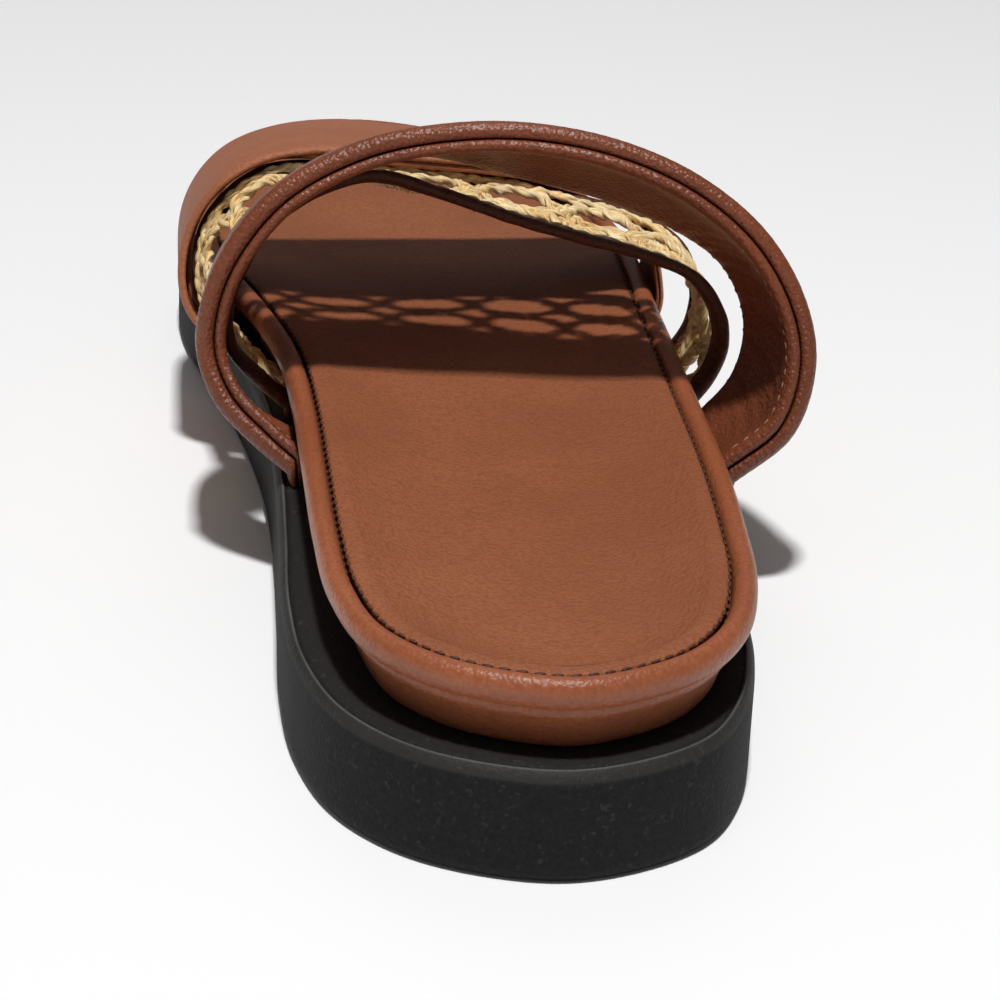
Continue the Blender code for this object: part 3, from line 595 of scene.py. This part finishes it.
# Sections round the foot from medial to lateral: heel edge x y z, toe edge x y z.
REAR_STRAP = (
    (-28.6, 91.5, 17.7, -28.0, 106.5, 17.7), (-33.9, 94.5, 21.4, -33.8, 111.0, 19.4),
    (-39.8, 98.5, 26.9, -38.6, 117.0, 22.4), (-42.5, 102.0, 33.7, -41.5, 122.0, 27.6),
    (-41.9, 102.5, 42.1, -40.4, 125.0, 34.5), (-38.5, 103.0, 50.5, -37.5, 127.0, 42.8),
    (-30.7, 104.5, 59.6, -29.4, 129.0, 51.7), (-18.0, 105.5, 66.3, -17.2, 129.5, 58.3),
    (-4.0, 104.5, 69.5, -5.0, 129.0, 58.9), (9.0, 103.3, 69.8, 9.0, 125.0, 56.5),
    (21.5, 101.0, 67.7, 21.5, 120.0, 54.5), (32.8, 98.2, 63.1, 32.1, 116.0, 51.1),
    (42.5, 95.2, 55.5, 40.0, 113.0, 46.4), (48.6, 92.0, 45.7, 43.9, 111.0, 40.4),
    (50.1, 88.0, 36.5, 45.2, 110.0, 33.5), (46.7, 85.0, 26.1, 43.3, 109.5, 25.5),
    (37.6, 85.5, 17.7, 36.2, 108.0, 17.7),
)
# How far in the footbed's wall stands at a depth below its rim, for straps that pass it.
BED_WALL = (
    (0.1, 1.3), (0.9, 0.5), (2.3, 0.0), (3.8, 0.7), (5.0, 2.3), (5.9, 2.7), (7.4, 3.4), (11.5, 4.6),
)
bed_edge = outline_ring(BED_OUTLINE, 0.0)
medial_edge = np.vstack([bed_edge[:1], bed_edge[:SOLE_STATIONS - 1:-1]])
bed_edges = {1.0: bed_edge[:SOLE_STATIONS + 1], -1.0: medial_edge}


class Strap:
    """A strap's outer face, from its medial to its lateral foot, ready to carry a section.

    depth is how far its middle lies below that face, crown its bulge, inner how far its inner
    side lies below the middle, and skive how much thinner it gets at the lateral foot.
    """

    def __init__(self, rows, depth, crown, inner, skive=0.0, sections=STRAP_SECTIONS):
        rows = np.array(rows)
        share = np.linspace(0.0, 1.0, sections + 1)
        self.share = share
        self.rear = spline(rows[:, :3], share)
        span = spline(rows[:, 3:], share) - self.rear
        self.width = np.linalg.norm(span, axis=1)
        self.towards = span / self.width[:, None]
        middle = self.rear + span * 0.5
        self.along = np.concatenate([[0.0], np.cumsum(np.linalg.norm(np.diff(middle, axis=0), axis=1))])
        outward = np.cross(np.gradient(middle, axis=0), self.towards)
        self.outward = outward / np.linalg.norm(outward, axis=1)[:, None]
        self.thin = 1.0 - skive * smooth_step(share, *SKIVE_ENDS)
        self.depth = depth
        self.crown = crown
        push = np.array([self.bed_push(k, inner) for k in range(sections + 1)])
        reach = sections // SIDE_EASE
        held = np.pad(push, reach // 3, mode="edge")
        held = np.array([held[k:k + 2 * (reach // 3) + 1].max() for k in range(sections + 1)])
        blend = np.hanning(2 * reach + 3)[1:-1]
        eased = np.convolve(np.pad(held, reach, mode="edge"), blend / blend.sum(), "valid")
        self.rear[:, 0] += np.sign(self.rear[:, 0]) * eased

    def place(self, k, from_rear, offset):
        """Points of section k at distances from the heel edge and offsets off the middle."""
        across = from_rear / self.width[k]
        bulge = self.crown * 4.0 * across * (1.0 - across)
        off = bulge - (self.depth - offset) * self.thin[k]
        return self.rear[k] + np.outer(from_rear, self.towards[k]) + np.outer(off, self.outward[k])

    def bed_push(self, k, inner):
        """How far section k must move sideways for its inner side to clear the footbed."""
        points = self.place(k, self.width[k] * np.linspace(0.0, 1.0, 5), np.full(5, -inner))
        side = 1.0 if self.rear[k, 0] > 0.0 else -1.0
        edge = bed_edges[side]
        out = 0.0
        for lift in (-SIDE_REACH, 0.0, SIDE_REACH):
            below = rim_line(points[:, 1]) - points[:, 2] - lift
            inset = np.interp(below, [row[0] for row in BED_WALL], [row[1] for row in BED_WALL])
            wall = side * np.interp(points[:, 1], edge[:, 1], edge[:, 0]) - inset
            need = np.where(below > 0.0, wall + SIDE_GAP - side * points[:, 0], 0.0)
            out = max(out, float(need.max()))
        return out

    def sweep(self, name, section, finish, relief=None, painted_shade=None):
        """Carry a closed section along the strap, with relief and painted shade noted on its points."""
        points, laid, painted_shades = [], [], []
        for k, share in enumerate(self.share):
            ring = section(self.width[k], share)
            offset = ring[:, 1].copy()
            if relief:
                offset += relief(self.along[k], share, ring[:, 0], ring[:, 1])
            placed = self.place(k, ring[:, 0], offset)
            ledge = ledge_line(placed[:, 1]) + GAP
            placed[:, 2] = ledge if share in (0.0, 1.0) else np.maximum(placed[:, 2], ledge)
            points += list(placed)
            laid += list(np.column_stack([np.full(len(ring), self.along[k]), ring]) * MM)
            painted_shades += list(painted_shade(ring[:, 0], ring[:, 1])) if painted_shade else [0.0] * len(ring)
        size = len(ring)
        faces = loop_faces(len(self.share), size)
        faces.append(tuple(range(size)))
        faces.append(tuple(range(len(points) - size, len(points))))
        return piece_of(name, points, faces, finish, {"laid": laid, "painted_shade": painted_shades})

    def path(self, from_rear, offset, facing, start=0.02, end=0.98):
        """A line along the strap for stitches: its points and the way that they face."""
        chosen = [k for k, share in enumerate(self.share) if start <= share <= end]
        inset, off = np.array([from_rear]), np.array([offset])
        line = np.vstack([self.place(k, inset, off) for k in chosen])
        return line, self.outward[chosen] * facing


def rear_section(width, share):
    """Section of the rear strap: the cord's roll, a slot under it, the lining's lip and a band."""
    turns = np.radians((30.0, 50.0, 72.0, 94.0, 116.0, 138.0, 160.0, 180.0, 200.0, 220.0, 238.0))
    roll = [(ROLL_RADIUS * (1.0 + math.cos(t)), ROLL_RISE + ROLL_RADIUS * math.sin(t)) for t in turns]
    outer = [(width, 0.7), (width - 0.2, 1.35), (width - 0.9, 1.76), (width * 0.62, 1.8), (7.5, 1.8),
             (5.2, 1.78), (4.1, 1.66), (3.4, 1.26), (3.0, 1.18)]
    slot = [(1.05, -0.34), (1.65, -0.42), (1.1, -0.52), (0.62, -0.72), (0.36, -1.25), (0.56, -1.85),
            (1.1, -2.24), (1.8, -2.36)]
    inner = [(3.3, -2.24), (5.0, -1.86), (7.0, -1.22), (9.0, -0.76), (11.0, -0.5), (width * 0.75, -0.4),
             (width - 1.1, -0.36), (width - 0.25, 0.0), (width, 0.7)]
    return spline(outer + roll + slot + inner, np.linspace(0.0, 1.0, 100, endpoint=False), closed=True)


def rear_relief(along, share, from_rear, offset):
    """Gathers of the lining by the lateral foot, and small folds across the roll."""
    inside = (offset < -0.2) & (from_rear > 4.0)
    near_foot = smooth_step(share, 0.62, 0.84)
    slant = along + from_rear * 0.35
    gathers = 0.15 * np.sin(slant * 2.2 + 1.4 * np.sin(slant * 0.7))
    gathers = gathers + 0.09 * np.sin(slant * 4.7 + from_rear * 0.8)
    lining = np.where(inside, gathers * (0.15 + 0.85 * near_foot) * smooth_step(from_rear, 4.0, 8.0), 0.0)
    rolled = np.where(from_rear < 3.4, 0.018 * np.sin(along * 3.3 + 1.1 * np.sin(along * 0.8)), 0.0)
    return lining + rolled * (offset / (REAR_ROLL / 2.0))


def rear_painted_shade(from_rear, offset):
    """Painted shade beside the roll on the outer side, and in the slot under it."""
    outer = np.exp(-((from_rear - 3.2) / 0.30) ** 2) * (offset > 0.5)
    slot = np.exp(-((offset + 0.43) / 0.15) ** 2) * (from_rear < 2.0)
    return np.maximum(outer * 0.8, slot)


strap_leather = tan_leather("strap_leather", (0.255, 0.070, 0.030), (0.140, 0.036, 0.014), 1.1, 0.33,
                            wrinkle=0.22, cloud=0.8)
rear = Strap(REAR_STRAP, REAR_ROLL / 2.0, REAR_CROWN, REAR_ROLL / 2.0)
rear_strap = rear.sweep("rolled_rear_strap", rear_section, strap_leather, rear_relief, rear_painted_shade)
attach(rear_strap, "root")
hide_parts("rear_strap")

# ---------------------------------------------------------------------------------------
# Rear strap stitching
# A row of short stitches in tan thread that holds the lining's lip to the rolled edge. It
# shows only on the inner side, where the foot goes in.
# ---------------------------------------------------------------------------------------
REAR_STITCH_INSET = 2.4      # from the strap's heel edge
REAR_STITCH_OFFSET = -2.30   # from the strap's middle, on the side of the foot
tan_thread = waxed_thread("tan_thread", (0.34, 0.17, 0.10), 0.45)
rear_stitches = path_piece("rear_strap_stitches", [rear.path(REAR_STITCH_INSET, REAR_STITCH_OFFSET, -1.0)])
worked(rear_stitches, stitches, {"Pitch": 2.0 * MM, "Stitch length": 1.3 * MM, "Thread width": 0.42 * MM,
                                 "Thread height": 0.30 * MM, "Slant": 0.18, "Thread": tan_thread})
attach(rear_stitches, "root")

# ---------------------------------------------------------------------------------------
# Bindings
# Two narrow strips of dark leather that carry the long edges of the raffia. Each is folded
# to a firm bead along its free edge, and its flap lies under the weave that is sewn to it.
# ---------------------------------------------------------------------------------------
RAFFIA_STRAP = (
    (-27.2, 119.0, 17.5, -29.5, 137.0, 17.3), (-32.2, 117.5, 22.0, -35.4, 142.5, 21.3),
    (-37.2, 118.0, 28.0, -40.3, 147.0, 25.7), (-37.7, 120.0, 34.9, -41.5, 149.3, 31.1),
    (-35.2, 121.5, 41.3, -40.2, 151.2, 37.9), (-31.4, 124.0, 46.5, -35.8, 151.2, 44.3),
    (-25.6, 126.0, 51.0, -28.8, 151.4, 48.6), (-14.0, 127.0, 55.1, -15.4, 152.0, 48.6),
    (-2.6, 126.0, 52.3, -1.8, 152.5, 47.5), (8.0, 123.0, 49.1, 11.0, 152.5, 46.1),
    (18.0, 119.5, 47.1, 22.3, 149.5, 43.9), (28.2, 116.0, 45.2, 32.2, 142.0, 43.0),
    (36.5, 113.5, 42.1, 37.8, 135.5, 40.4), (40.7, 112.0, 36.6, 40.2, 132.5, 35.6),
    (41.7, 111.5, 31.1, 40.6, 132.5, 30.1), (40.0, 112.5, 24.3, 39.2, 134.5, 23.9),
    (34.6, 113.0, 17.5, 34.4, 135.5, 17.5),
)
RAFFIA_SAG = 1.2             # how far the weave hangs in between its two bindings
BINDING_WALL = 1.9
BINDING_BEAD = 1.85          # width of the bead along the free edge
RAFFIA_INNER = 1.3           # room kept for the weave towards the foot, from its middle
RAFFIA_SECTIONS = 660        # finer than the other straps, so that the strands bend smoothly


def bead_and_flap(start, step):
    """Section of a binding from its free edge inwards: a round bead, then a thin flap."""
    outline = [(0.0, 0.0), (0.12, 0.50), (0.45, 0.83), (0.95, 0.95), (1.42, 0.84), (1.72, 0.48),
               (BINDING_BEAD, 0.0), (2.0, -0.50), (2.6, -0.63), (3.2, -0.66), (3.45, -0.79), (3.2, -0.92),
               (2.6, -0.95), (1.2, -0.95), (0.45, -0.83), (0.12, -0.50), (0.0, 0.0)]
    ring = spline(outline, np.linspace(0.0, 1.0, 40, endpoint=False), closed=True)
    return np.column_stack([start + step * ring[:, 0], ring[:, 1]])


def binding_relief(along, share, from_rear, offset):
    """Small uneven swells of a hand-folded bead."""
    return offset * 0.04 * np.sin(along * 0.9 + 1.3 * np.sin(along * 0.31))


raffia = Strap(RAFFIA_STRAP, BINDING_WALL / 2.0, -RAFFIA_SAG, RAFFIA_INNER, sections=RAFFIA_SECTIONS)
binding_leather = tan_leather("binding_leather", (0.105, 0.031, 0.014), (0.050, 0.014, 0.007), 0.7, 0.42,
                              wrinkle=0.2, cloud=0.6, gloss=0.28)
rear_binding = raffia.sweep("heel_side_binding", lambda width, share: bead_and_flap(0.0, 1.0),
                            binding_leather, binding_relief)
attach(rear_binding, "root")
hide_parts("raffia_rear_binding")
front_binding = raffia.sweep("toe_side_binding", lambda width, share: bead_and_flap(width, -1.0),
                             binding_leather, binding_relief)
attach(front_binding, "root")
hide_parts("raffia_front_binding")

# ---------------------------------------------------------------------------------------
# Raffia weave
# Three-strand plaits of natural raffia that cross at every post and part again round two
# rows of oval openings. A two-strand twist runs beside each binding and is sewn to it.
# ---------------------------------------------------------------------------------------
LACE_CELLS = 11              # openings in each row
STRAND_WIDTH = 1.45
STRAND_THICKNESS = 0.80
PLAIT_REACH = 0.95           # how far a strand swings to each side of its plait
PLAIT_DEPTH = 0.30           # how far it rises and dives
PLAIT_PITCH = 12.5
OUTER_PLAIT = 4.7            # from the strap's edge to the middle of the outermost plait
INNER_PLAIT = 0.95           # from the strap's middle to the plait of either row
EDGE_TWIST = 2.95            # from the strap's edge to the middle of the twist
TWIST_REACH = 0.35
TWIST_PITCH = 6.5
REAR_TWIST_LIFT = 0.50       # how far a twist lies above the strap's middle
FRONT_TWIST_LIFT = 0.49
PLAIT_SINK = 0.1             # how far the plaits lie below it
LEAN_SHARPNESS = 1.9         # how sharply a plait swings across at a post
# Over the bindings' flaps a strand stays this high: distances from the edge, heights.
FLAP_SILL = ((4.0, 5.0), (0.21, -1.5))
STRAND_CEILING = 0.55        # highest middle of a strand, so that it passes under the other straps
CROSSING_LIFT = 0.30         # how far one plait lies over the other at a post


def plait(from_rear, offset, strands, reach, depth, pitch, chance):
    """Strands that braid round a line on the raffia strap, given section by section."""
    places = [raffia.place(k, from_rear[k:k + 1], offset[k:k + 1]) for k in range(len(from_rear))]
    line = np.vstack(places)
    ahead = np.gradient(line, axis=0)
    ahead /= np.linalg.norm(ahead, axis=1)[:, None]
    sideways = np.cross(raffia.outward, ahead)
    sideways /= np.linalg.norm(sideways, axis=1)[:, None]
    gone = np.concatenate([[0.0], np.cumsum(np.linalg.norm(np.diff(line, axis=0), axis=1))])
    made = []
    for strand in range(strands):
        turn = math.tau * (gone / pitch + strand / strands) + np.sin(gone * 0.23 + chance)
        loose = 1.0 + 0.24 * np.sin(gone * 0.57 + chance * 3.0 + strand * 2.0)
        rise = np.sin(2.0 * turn) if strands == 3 else np.cos(turn)
        swing = reach * loose * np.sin(turn)
        inside = np.minimum(from_rear, raffia.width - from_rear) - np.abs(swing)
        sill = np.interp(inside, FLAP_SILL[0], FLAP_SILL[1])
        lifted = np.clip(offset + depth * rise, sill, STRAND_CEILING) - offset
        points = line + sideways * swing[:, None] + raffia.outward * lifted[:, None]
        floor = ledge_line(points[:, 1]) + GAP + STRAND_THICKNESS / 2.0
        points[:, 2] = np.maximum(points[:, 2], floor)
        made.append((points, raffia.outward))
    return made


def twisted_straw():
    """Tree that turns paths into flat strands, twisted as they run and uneven in width."""
    tree, given = new_tree("Twisted straw", ("Step", "Strand width", "Strand thickness", "Twist"), "Straw")
    path = add(tree, "GeometryNodeMeshToCurve", {"Mesh": given["Path"]})
    spaced = add(tree, "GeometryNodeResampleCurve", {"Curve": path.outputs[0], "Length": given["Step"]},
                 mode="LENGTH")
    travelled = add(tree, "GeometryNodeSplineParameter", {})
    which = add(tree, "GeometryNodeInputNamedAttribute", {"Name": "strand"}, data_type="FLOAT")
    turn = add(tree, "ShaderNodeMath", {0: travelled.outputs["Length"], 1: given["Twist"]},
               operation="MULTIPLY")
    phase = add(tree, "ShaderNodeMath", {0: which.outputs["Attribute"], 1: 1.7}, operation="MULTIPLY")
    tilt = add(tree, "ShaderNodeMath", {0: turn.outputs[0], 1: phase.outputs[0]}, operation="ADD")
    tilted = add(tree, "GeometryNodeSetCurveTilt", {"Curve": spaced.outputs[0], "Tilt": tilt.outputs[0]})
    uneven = add(tree, "ShaderNodeTexNoise", {"Scale": 420.0, "Detail": 1.0})
    thick = add(tree, "ShaderNodeMapRange", {"Value": uneven.outputs[0], "From Min": 0.3, "From Max": 0.7,
                                             "To Min": 0.78, "To Max": 1.14})
    sized = add(tree, "GeometryNodeSetCurveRadius", {"Curve": tilted.outputs[0], "Radius": thick.outputs[0]})
    laid = add(tree, "GeometryNodeStoreNamedAttribute",
               {"Geometry": sized.outputs[0], "Name": "run", "Value": travelled.outputs["Length"]},
               data_type="FLOAT", domain="POINT")
    ring = add(tree, "GeometryNodeCurvePrimitiveCircle", {"Resolution": 10, "Radius": 0.5}, mode="RADIUS")
    flat = add(tree, "ShaderNodeCombineXYZ",
               {"X": given["Strand width"], "Y": given["Strand thickness"], "Z": 1.0})
    profile = add(tree, "GeometryNodeTransform", {"Geometry": ring.outputs[0], "Scale": flat.outputs[0]})
    marked = add(tree, "GeometryNodeStoreNamedAttribute",
                 {"Geometry": profile.outputs[0], "Name": "around", "Value": travelled.outputs["Factor"]},
                 data_type="FLOAT", domain="POINT")
    strands = add(tree, "GeometryNodeCurveToMesh",
                  {"Curve": laid.outputs[0], "Profile Curve": marked.outputs[0], "Fill Caps": True})
    smooth = add(tree, "GeometryNodeSetShadeSmooth", {0: strands.outputs[0]})
    real = add(tree, "GeometryNodeRealizeInstances", {0: smooth.outputs[0]})
    done = add(tree, "GeometryNodeSetMaterial", {"Geometry": real.outputs[0], "Material": given["Straw"]})
    add(tree, "NodeGroupOutput", {0: done.outputs[0]})
    return tree


def raffia_straw():
    """Natural raffia: shiny cream fibres that run round each strand, golden in the folds."""
    finish = Finish("raffia", {"Metallic": 0.0, "Specular IOR Level": 0.5})
    where = finish.node("TexCoord", {}, {}, 3)
    run = finish.node("Attribute", {"attribute_name": "run"}, {}, 2)
    around = finish.node("Attribute", {"attribute_name": "around"}, {}, 2)
    strand = finish.node("Attribute", {"attribute_name": "strand"}, {}, 2)
    lanes = finish.node("CombineXYZ", {}, {"X": run * 260.0, "Y": around * 9.0, "Z": strand * 3.1})
    fibres = finish.noise(lanes, 1.0, 3.0, 0.7)
    cloud = finish.noise(where, 170.0, 3.0, 0.6)
    cream = (0.95, 0.68, 0.29, 1.0)
    gold = (0.42, 0.20, 0.045, 1.0)
    base = finish.mix(finish.level(fibres, 0.34, 0.60), gold, cream)
    base = finish.mix(finish.level(cloud, 0.35, 0.7) * 0.5, base, (1.0, 0.90, 0.64, 1.0))
    bump = finish.node("Bump", {}, {"Strength": 0.7, "Distance": 0.00025, "Height": fibres})
    return finish.wear(Base_Color=base, Roughness=0.34 + fibres * 0.25, Normal=bump)


straw = raffia_straw()
half_width = raffia.width / 2.0
cells = raffia.share * LACE_CELLS
lean = np.tanh(LEAN_SHARPNESS * np.sin(math.pi * cells)) / math.tanh(LEAN_SHARPNESS)
crossing = np.cos(math.pi * cells)
rail = (half_width - OUTER_PLAIT - INNER_PLAIT) / 2.0
strand_paths = []
for row in (-1.0, 1.0):
    for family in (-1.0, 1.0):
        chance = 1.3 * row + 2.9 * family
        sway = 0.16 * np.sin(cells * 5.1 + chance) + 0.10 * np.sin(cells * 11.7 + 2.0 * chance)
        from_rear = half_width + row * (INNER_PLAIT + rail) + family * lean * rail + sway
        lift = CROSSING_LIFT * family * row * crossing * np.abs(crossing) - PLAIT_SINK
        strand_paths += plait(from_rear, lift, 3, PLAIT_REACH, PLAIT_DEPTH, PLAIT_PITCH, chance)
rear_twist = np.full(len(cells), EDGE_TWIST)
for from_rear, lift in ((rear_twist, REAR_TWIST_LIFT), (raffia.width - EDGE_TWIST, FRONT_TWIST_LIFT)):
    strand_paths += plait(from_rear, np.full(len(cells), lift), 2, TWIST_REACH, TWIST_REACH, TWIST_PITCH,
                          chance=lift)
weave = path_piece("raffia_weave", strand_paths)
strand_number = np.repeat(np.arange(len(strand_paths)), len(raffia.share)).astype(np.float32)
weave.data.attributes.new("strand", "FLOAT", "POINT").data.foreach_set("value", strand_number)
worked(weave, twisted_straw(), {"Step": 0.48 * MM, "Strand width": STRAND_WIDTH * MM,
                                "Strand thickness": STRAND_THICKNESS * MM, "Twist": 820.0, "Straw": straw})
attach(weave, "root")
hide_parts("raffia_lace")

# ---------------------------------------------------------------------------------------
# Front strap
# A wide strap of smooth matte leather over the toes. Its outer layer is turned over along
# the heel edge, and its lining stands back on the medial side so that the raffia tucks in.
# ---------------------------------------------------------------------------------------
FRONT_STRAP = (
    (-31.4, 139.5, 17.1, -33.6, 171.0, 15.5), (-37.6, 140.6, 20.5, -38.9, 172.5, 18.7),
    (-42.4, 142.8, 25.5, -41.6, 174.5, 24.3), (-43.6, 145.0, 31.5, -42.1, 177.0, 31.1),
    (-42.0, 147.2, 38.9, -39.5, 180.0, 37.3), (-37.6, 146.6, 46.1, -34.1, 182.5, 42.3),
    (-30.3, 146.6, 50.9, -24.9, 184.5, 45.4), (-19.4, 146.8, 52.6, -13.7, 186.0, 45.7),
    (-6.0, 147.0, 51.3, -2.5, 187.0, 44.4), (8.1, 147.5, 49.8, 9.0, 187.0, 43.5),
    (18.1, 147.5, 48.2, 19.0, 186.5, 42.3), (26.8, 147.5, 45.3, 28.0, 185.5, 39.7),
    (33.5, 148.0, 40.4, 35.2, 184.5, 35.5), (36.6, 149.0, 33.8, 39.0, 183.5, 29.5),
    (37.6, 150.0, 27.5, 40.2, 182.5, 24.1), (36.6, 150.0, 21.7, 39.2, 181.5, 19.1),
    (32.8, 150.0, 16.9, 34.8, 181.0, 15.3),
)
FRONT_FOLD = 2.6             # thickness at the turned edge
FRONT_LAP = 6.0              # how far the lining stands back where the raffia tucks in
FRONT_SKIVE = 0.5            # share of its thickness pared away at the lateral foot
FRONT_CROWN = 0.6            # how far it bulges between its two edges
LAP_ENDS = (0.36, 0.44)      # shares of its length over which the lining comes forward again


def front_lap(share):
    """How far the lining stands back at a share of the strap's length."""
    return FRONT_LAP * (1.0 - float(smooth_step(share, *LAP_ENDS)))


def front_section(width, share):
    """Section of the front strap: a turned outer layer, a slot and the lining below it."""
    lap = front_lap(share)
    outer = [(width, 0.1), (width - 0.15, 0.5), (width - 0.6, 0.86), (width - 1.6, 1.0),
             (width * 0.66, 1.0), (width * 0.33, 1.0), (4.4, 1.0), (3.3, 1.02), (2.3, 1.2), (1.5, 1.3),
             (0.75, 1.22), (0.26, 0.96), (0.02, 0.6), (0.10, 0.26), (0.45, 0.06)]
    slot = [(0.45 + 0.35 * (lap + 0.6), 0.0), (lap + 1.05, -0.03), (lap + 0.68, -0.24)]
    lining = [(lap + 0.5, -0.64), (lap + 0.74, -1.06), (lap + 1.5, -1.3), (lap + 3.0, -1.24),
              (lap + 4.5, -1.05), (width * 0.66, -1.0), (width - 1.6, -0.95), (width - 0.5, -0.66),
              (width - 0.1, -0.3), (width, 0.1)]
    return spline(outer + slot + lining, np.linspace(0.0, 1.0, 80, endpoint=False), closed=True)


def front_painted_shade(from_rear, offset):
    """Painted shade in the slot between the outer layer and the lining."""
    return 0.85 * np.exp(-((offset + 0.02) / 0.12) ** 2) * ((from_rear > 0.5) & (from_rear < 8.0))


def front_relief(along, share, from_rear, offset):
    """Slow waves of a strap that has been worn a little."""
    calm = 0.10 * np.sin(along * 0.16 + from_rear * 0.12) + 0.05 * np.sin(along * 0.41 - from_rear * 0.23)
    return calm * np.sign(offset) * smooth_step(from_rear, 4.0, 9.0)


panel_leather = tan_leather("panel_leather", (0.400, 0.142, 0.068), (0.300, 0.098, 0.044), 0.8, 0.50,
                            cloud=0.4, gloss=0.3)
front = Strap(FRONT_STRAP, FRONT_FOLD / 2.0, FRONT_CROWN, FRONT_FOLD / 2.0, FRONT_SKIVE)
front_strap = front.sweep("folded_front_strap", front_section, panel_leather, front_relief, front_painted_shade)
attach(front_strap, "root")
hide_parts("front_strap")

# ---------------------------------------------------------------------------------------
# Studio
# A pale floor, one small bright lamp high behind the heel, two wide soft ones behind the
# heel and before the toe, and an even pale surround. The camera stands behind the heel, a
# little to the medial side, and looks down.
# ---------------------------------------------------------------------------------------
FLOOR_REACH = 4.0            # in metres, from the sandal to each side of the floor
SURROUND_STRENGTH = 0.10
CAMERA_STAND = (-66.4, -474.0, 205.0)
CAMERA_PITCH = 23.04         # degrees, looking down
CAMERA_YAW = 2.12            # degrees, turned to the lateral side
AIM_RIGHT = 0.1046           # how far the aim lies beside and below that direction, as slopes
AIM_DOWN = 0.0086
CAMERA_LENS = 114.0
CAMERA_NEAR = 0.01
floor_finish = Finish("pale_floor", {"Base Color": (0.94, 0.94, 0.94, 1.0), "Roughness": 0.9,
                                     "Specular IOR Level": 0.1})
floor_mesh = bpy.data.meshes.new("floor")
corners = [(FLOOR_REACH * x, FLOOR_REACH * y, 0.0) for x, y in ((-1, -1), (1, -1), (1, 1), (-1, 1))]
floor_mesh.from_pydata(corners, [], [(0, 1, 2, 3)])
floor_mesh.materials.append(floor_finish.material)
floor = bpy.data.objects.new("floor", floor_mesh)
bpy.context.scene.collection.objects.link(floor)

world = bpy.data.worlds.new("surround")
world.use_nodes = True
world.node_tree.nodes["Background"].inputs["Color"].default_value = (1.0, 1.0, 1.0, 1.0)
world.node_tree.nodes["Background"].inputs["Strength"].default_value = SURROUND_STRENGTH
bpy.context.scene.world = world
bpy.context.scene.view_settings.view_transform = "Standard"


def lamp(name, place, aim, size, power):
    """A square lamp that shines from a place to a point."""
    data = bpy.data.lights.new(name, "AREA")
    data.size = size
    data.energy = power
    made = bpy.data.objects.new(name, data)
    bpy.context.scene.collection.objects.link(made)
    made.location = place
    made.rotation_euler = (Vector(aim) - Vector(place)).to_track_quat("-Z", "Y").to_euler()


lamp("key", (-0.05, -0.42, 1.40), (0.0, 0.0, 0.04), 0.11, 18.4)
lamp("wide", (-0.5, -0.9, 1.3), (0.0, 0.0, 0.03), 1.4, 1.3)
lamp("back", (0.1, 1.1, 1.3), (0.0, 0.0, 0.03), 1.2, 2.0)

camera_data = bpy.data.cameras.new("camera")
camera = bpy.data.objects.new("camera", camera_data)
bpy.context.scene.collection.objects.link(camera)
stand = Vector(CAMERA_STAND) * MM
pitch, yaw = math.radians(CAMERA_PITCH), math.radians(CAMERA_YAW)
ahead = Vector((math.sin(yaw) * math.cos(pitch), math.cos(yaw) * math.cos(pitch), -math.sin(pitch)))
right = Vector((math.cos(yaw), -math.sin(yaw), 0.0))
above = right.cross(ahead)
aim = (ahead + right * AIM_RIGHT - above * AIM_DOWN).normalized()
turn = ahead.rotation_difference(aim)
above = turn @ above
right = aim.cross(above)
camera.matrix_world = Matrix.Translation(stand) @ Matrix((right, above, -aim)).transposed().to_4x4()
camera_data.sensor_width = 36.0
camera_data.lens = CAMERA_LENS
camera_data.clip_start = CAMERA_NEAR
bpy.context.scene.camera = camera
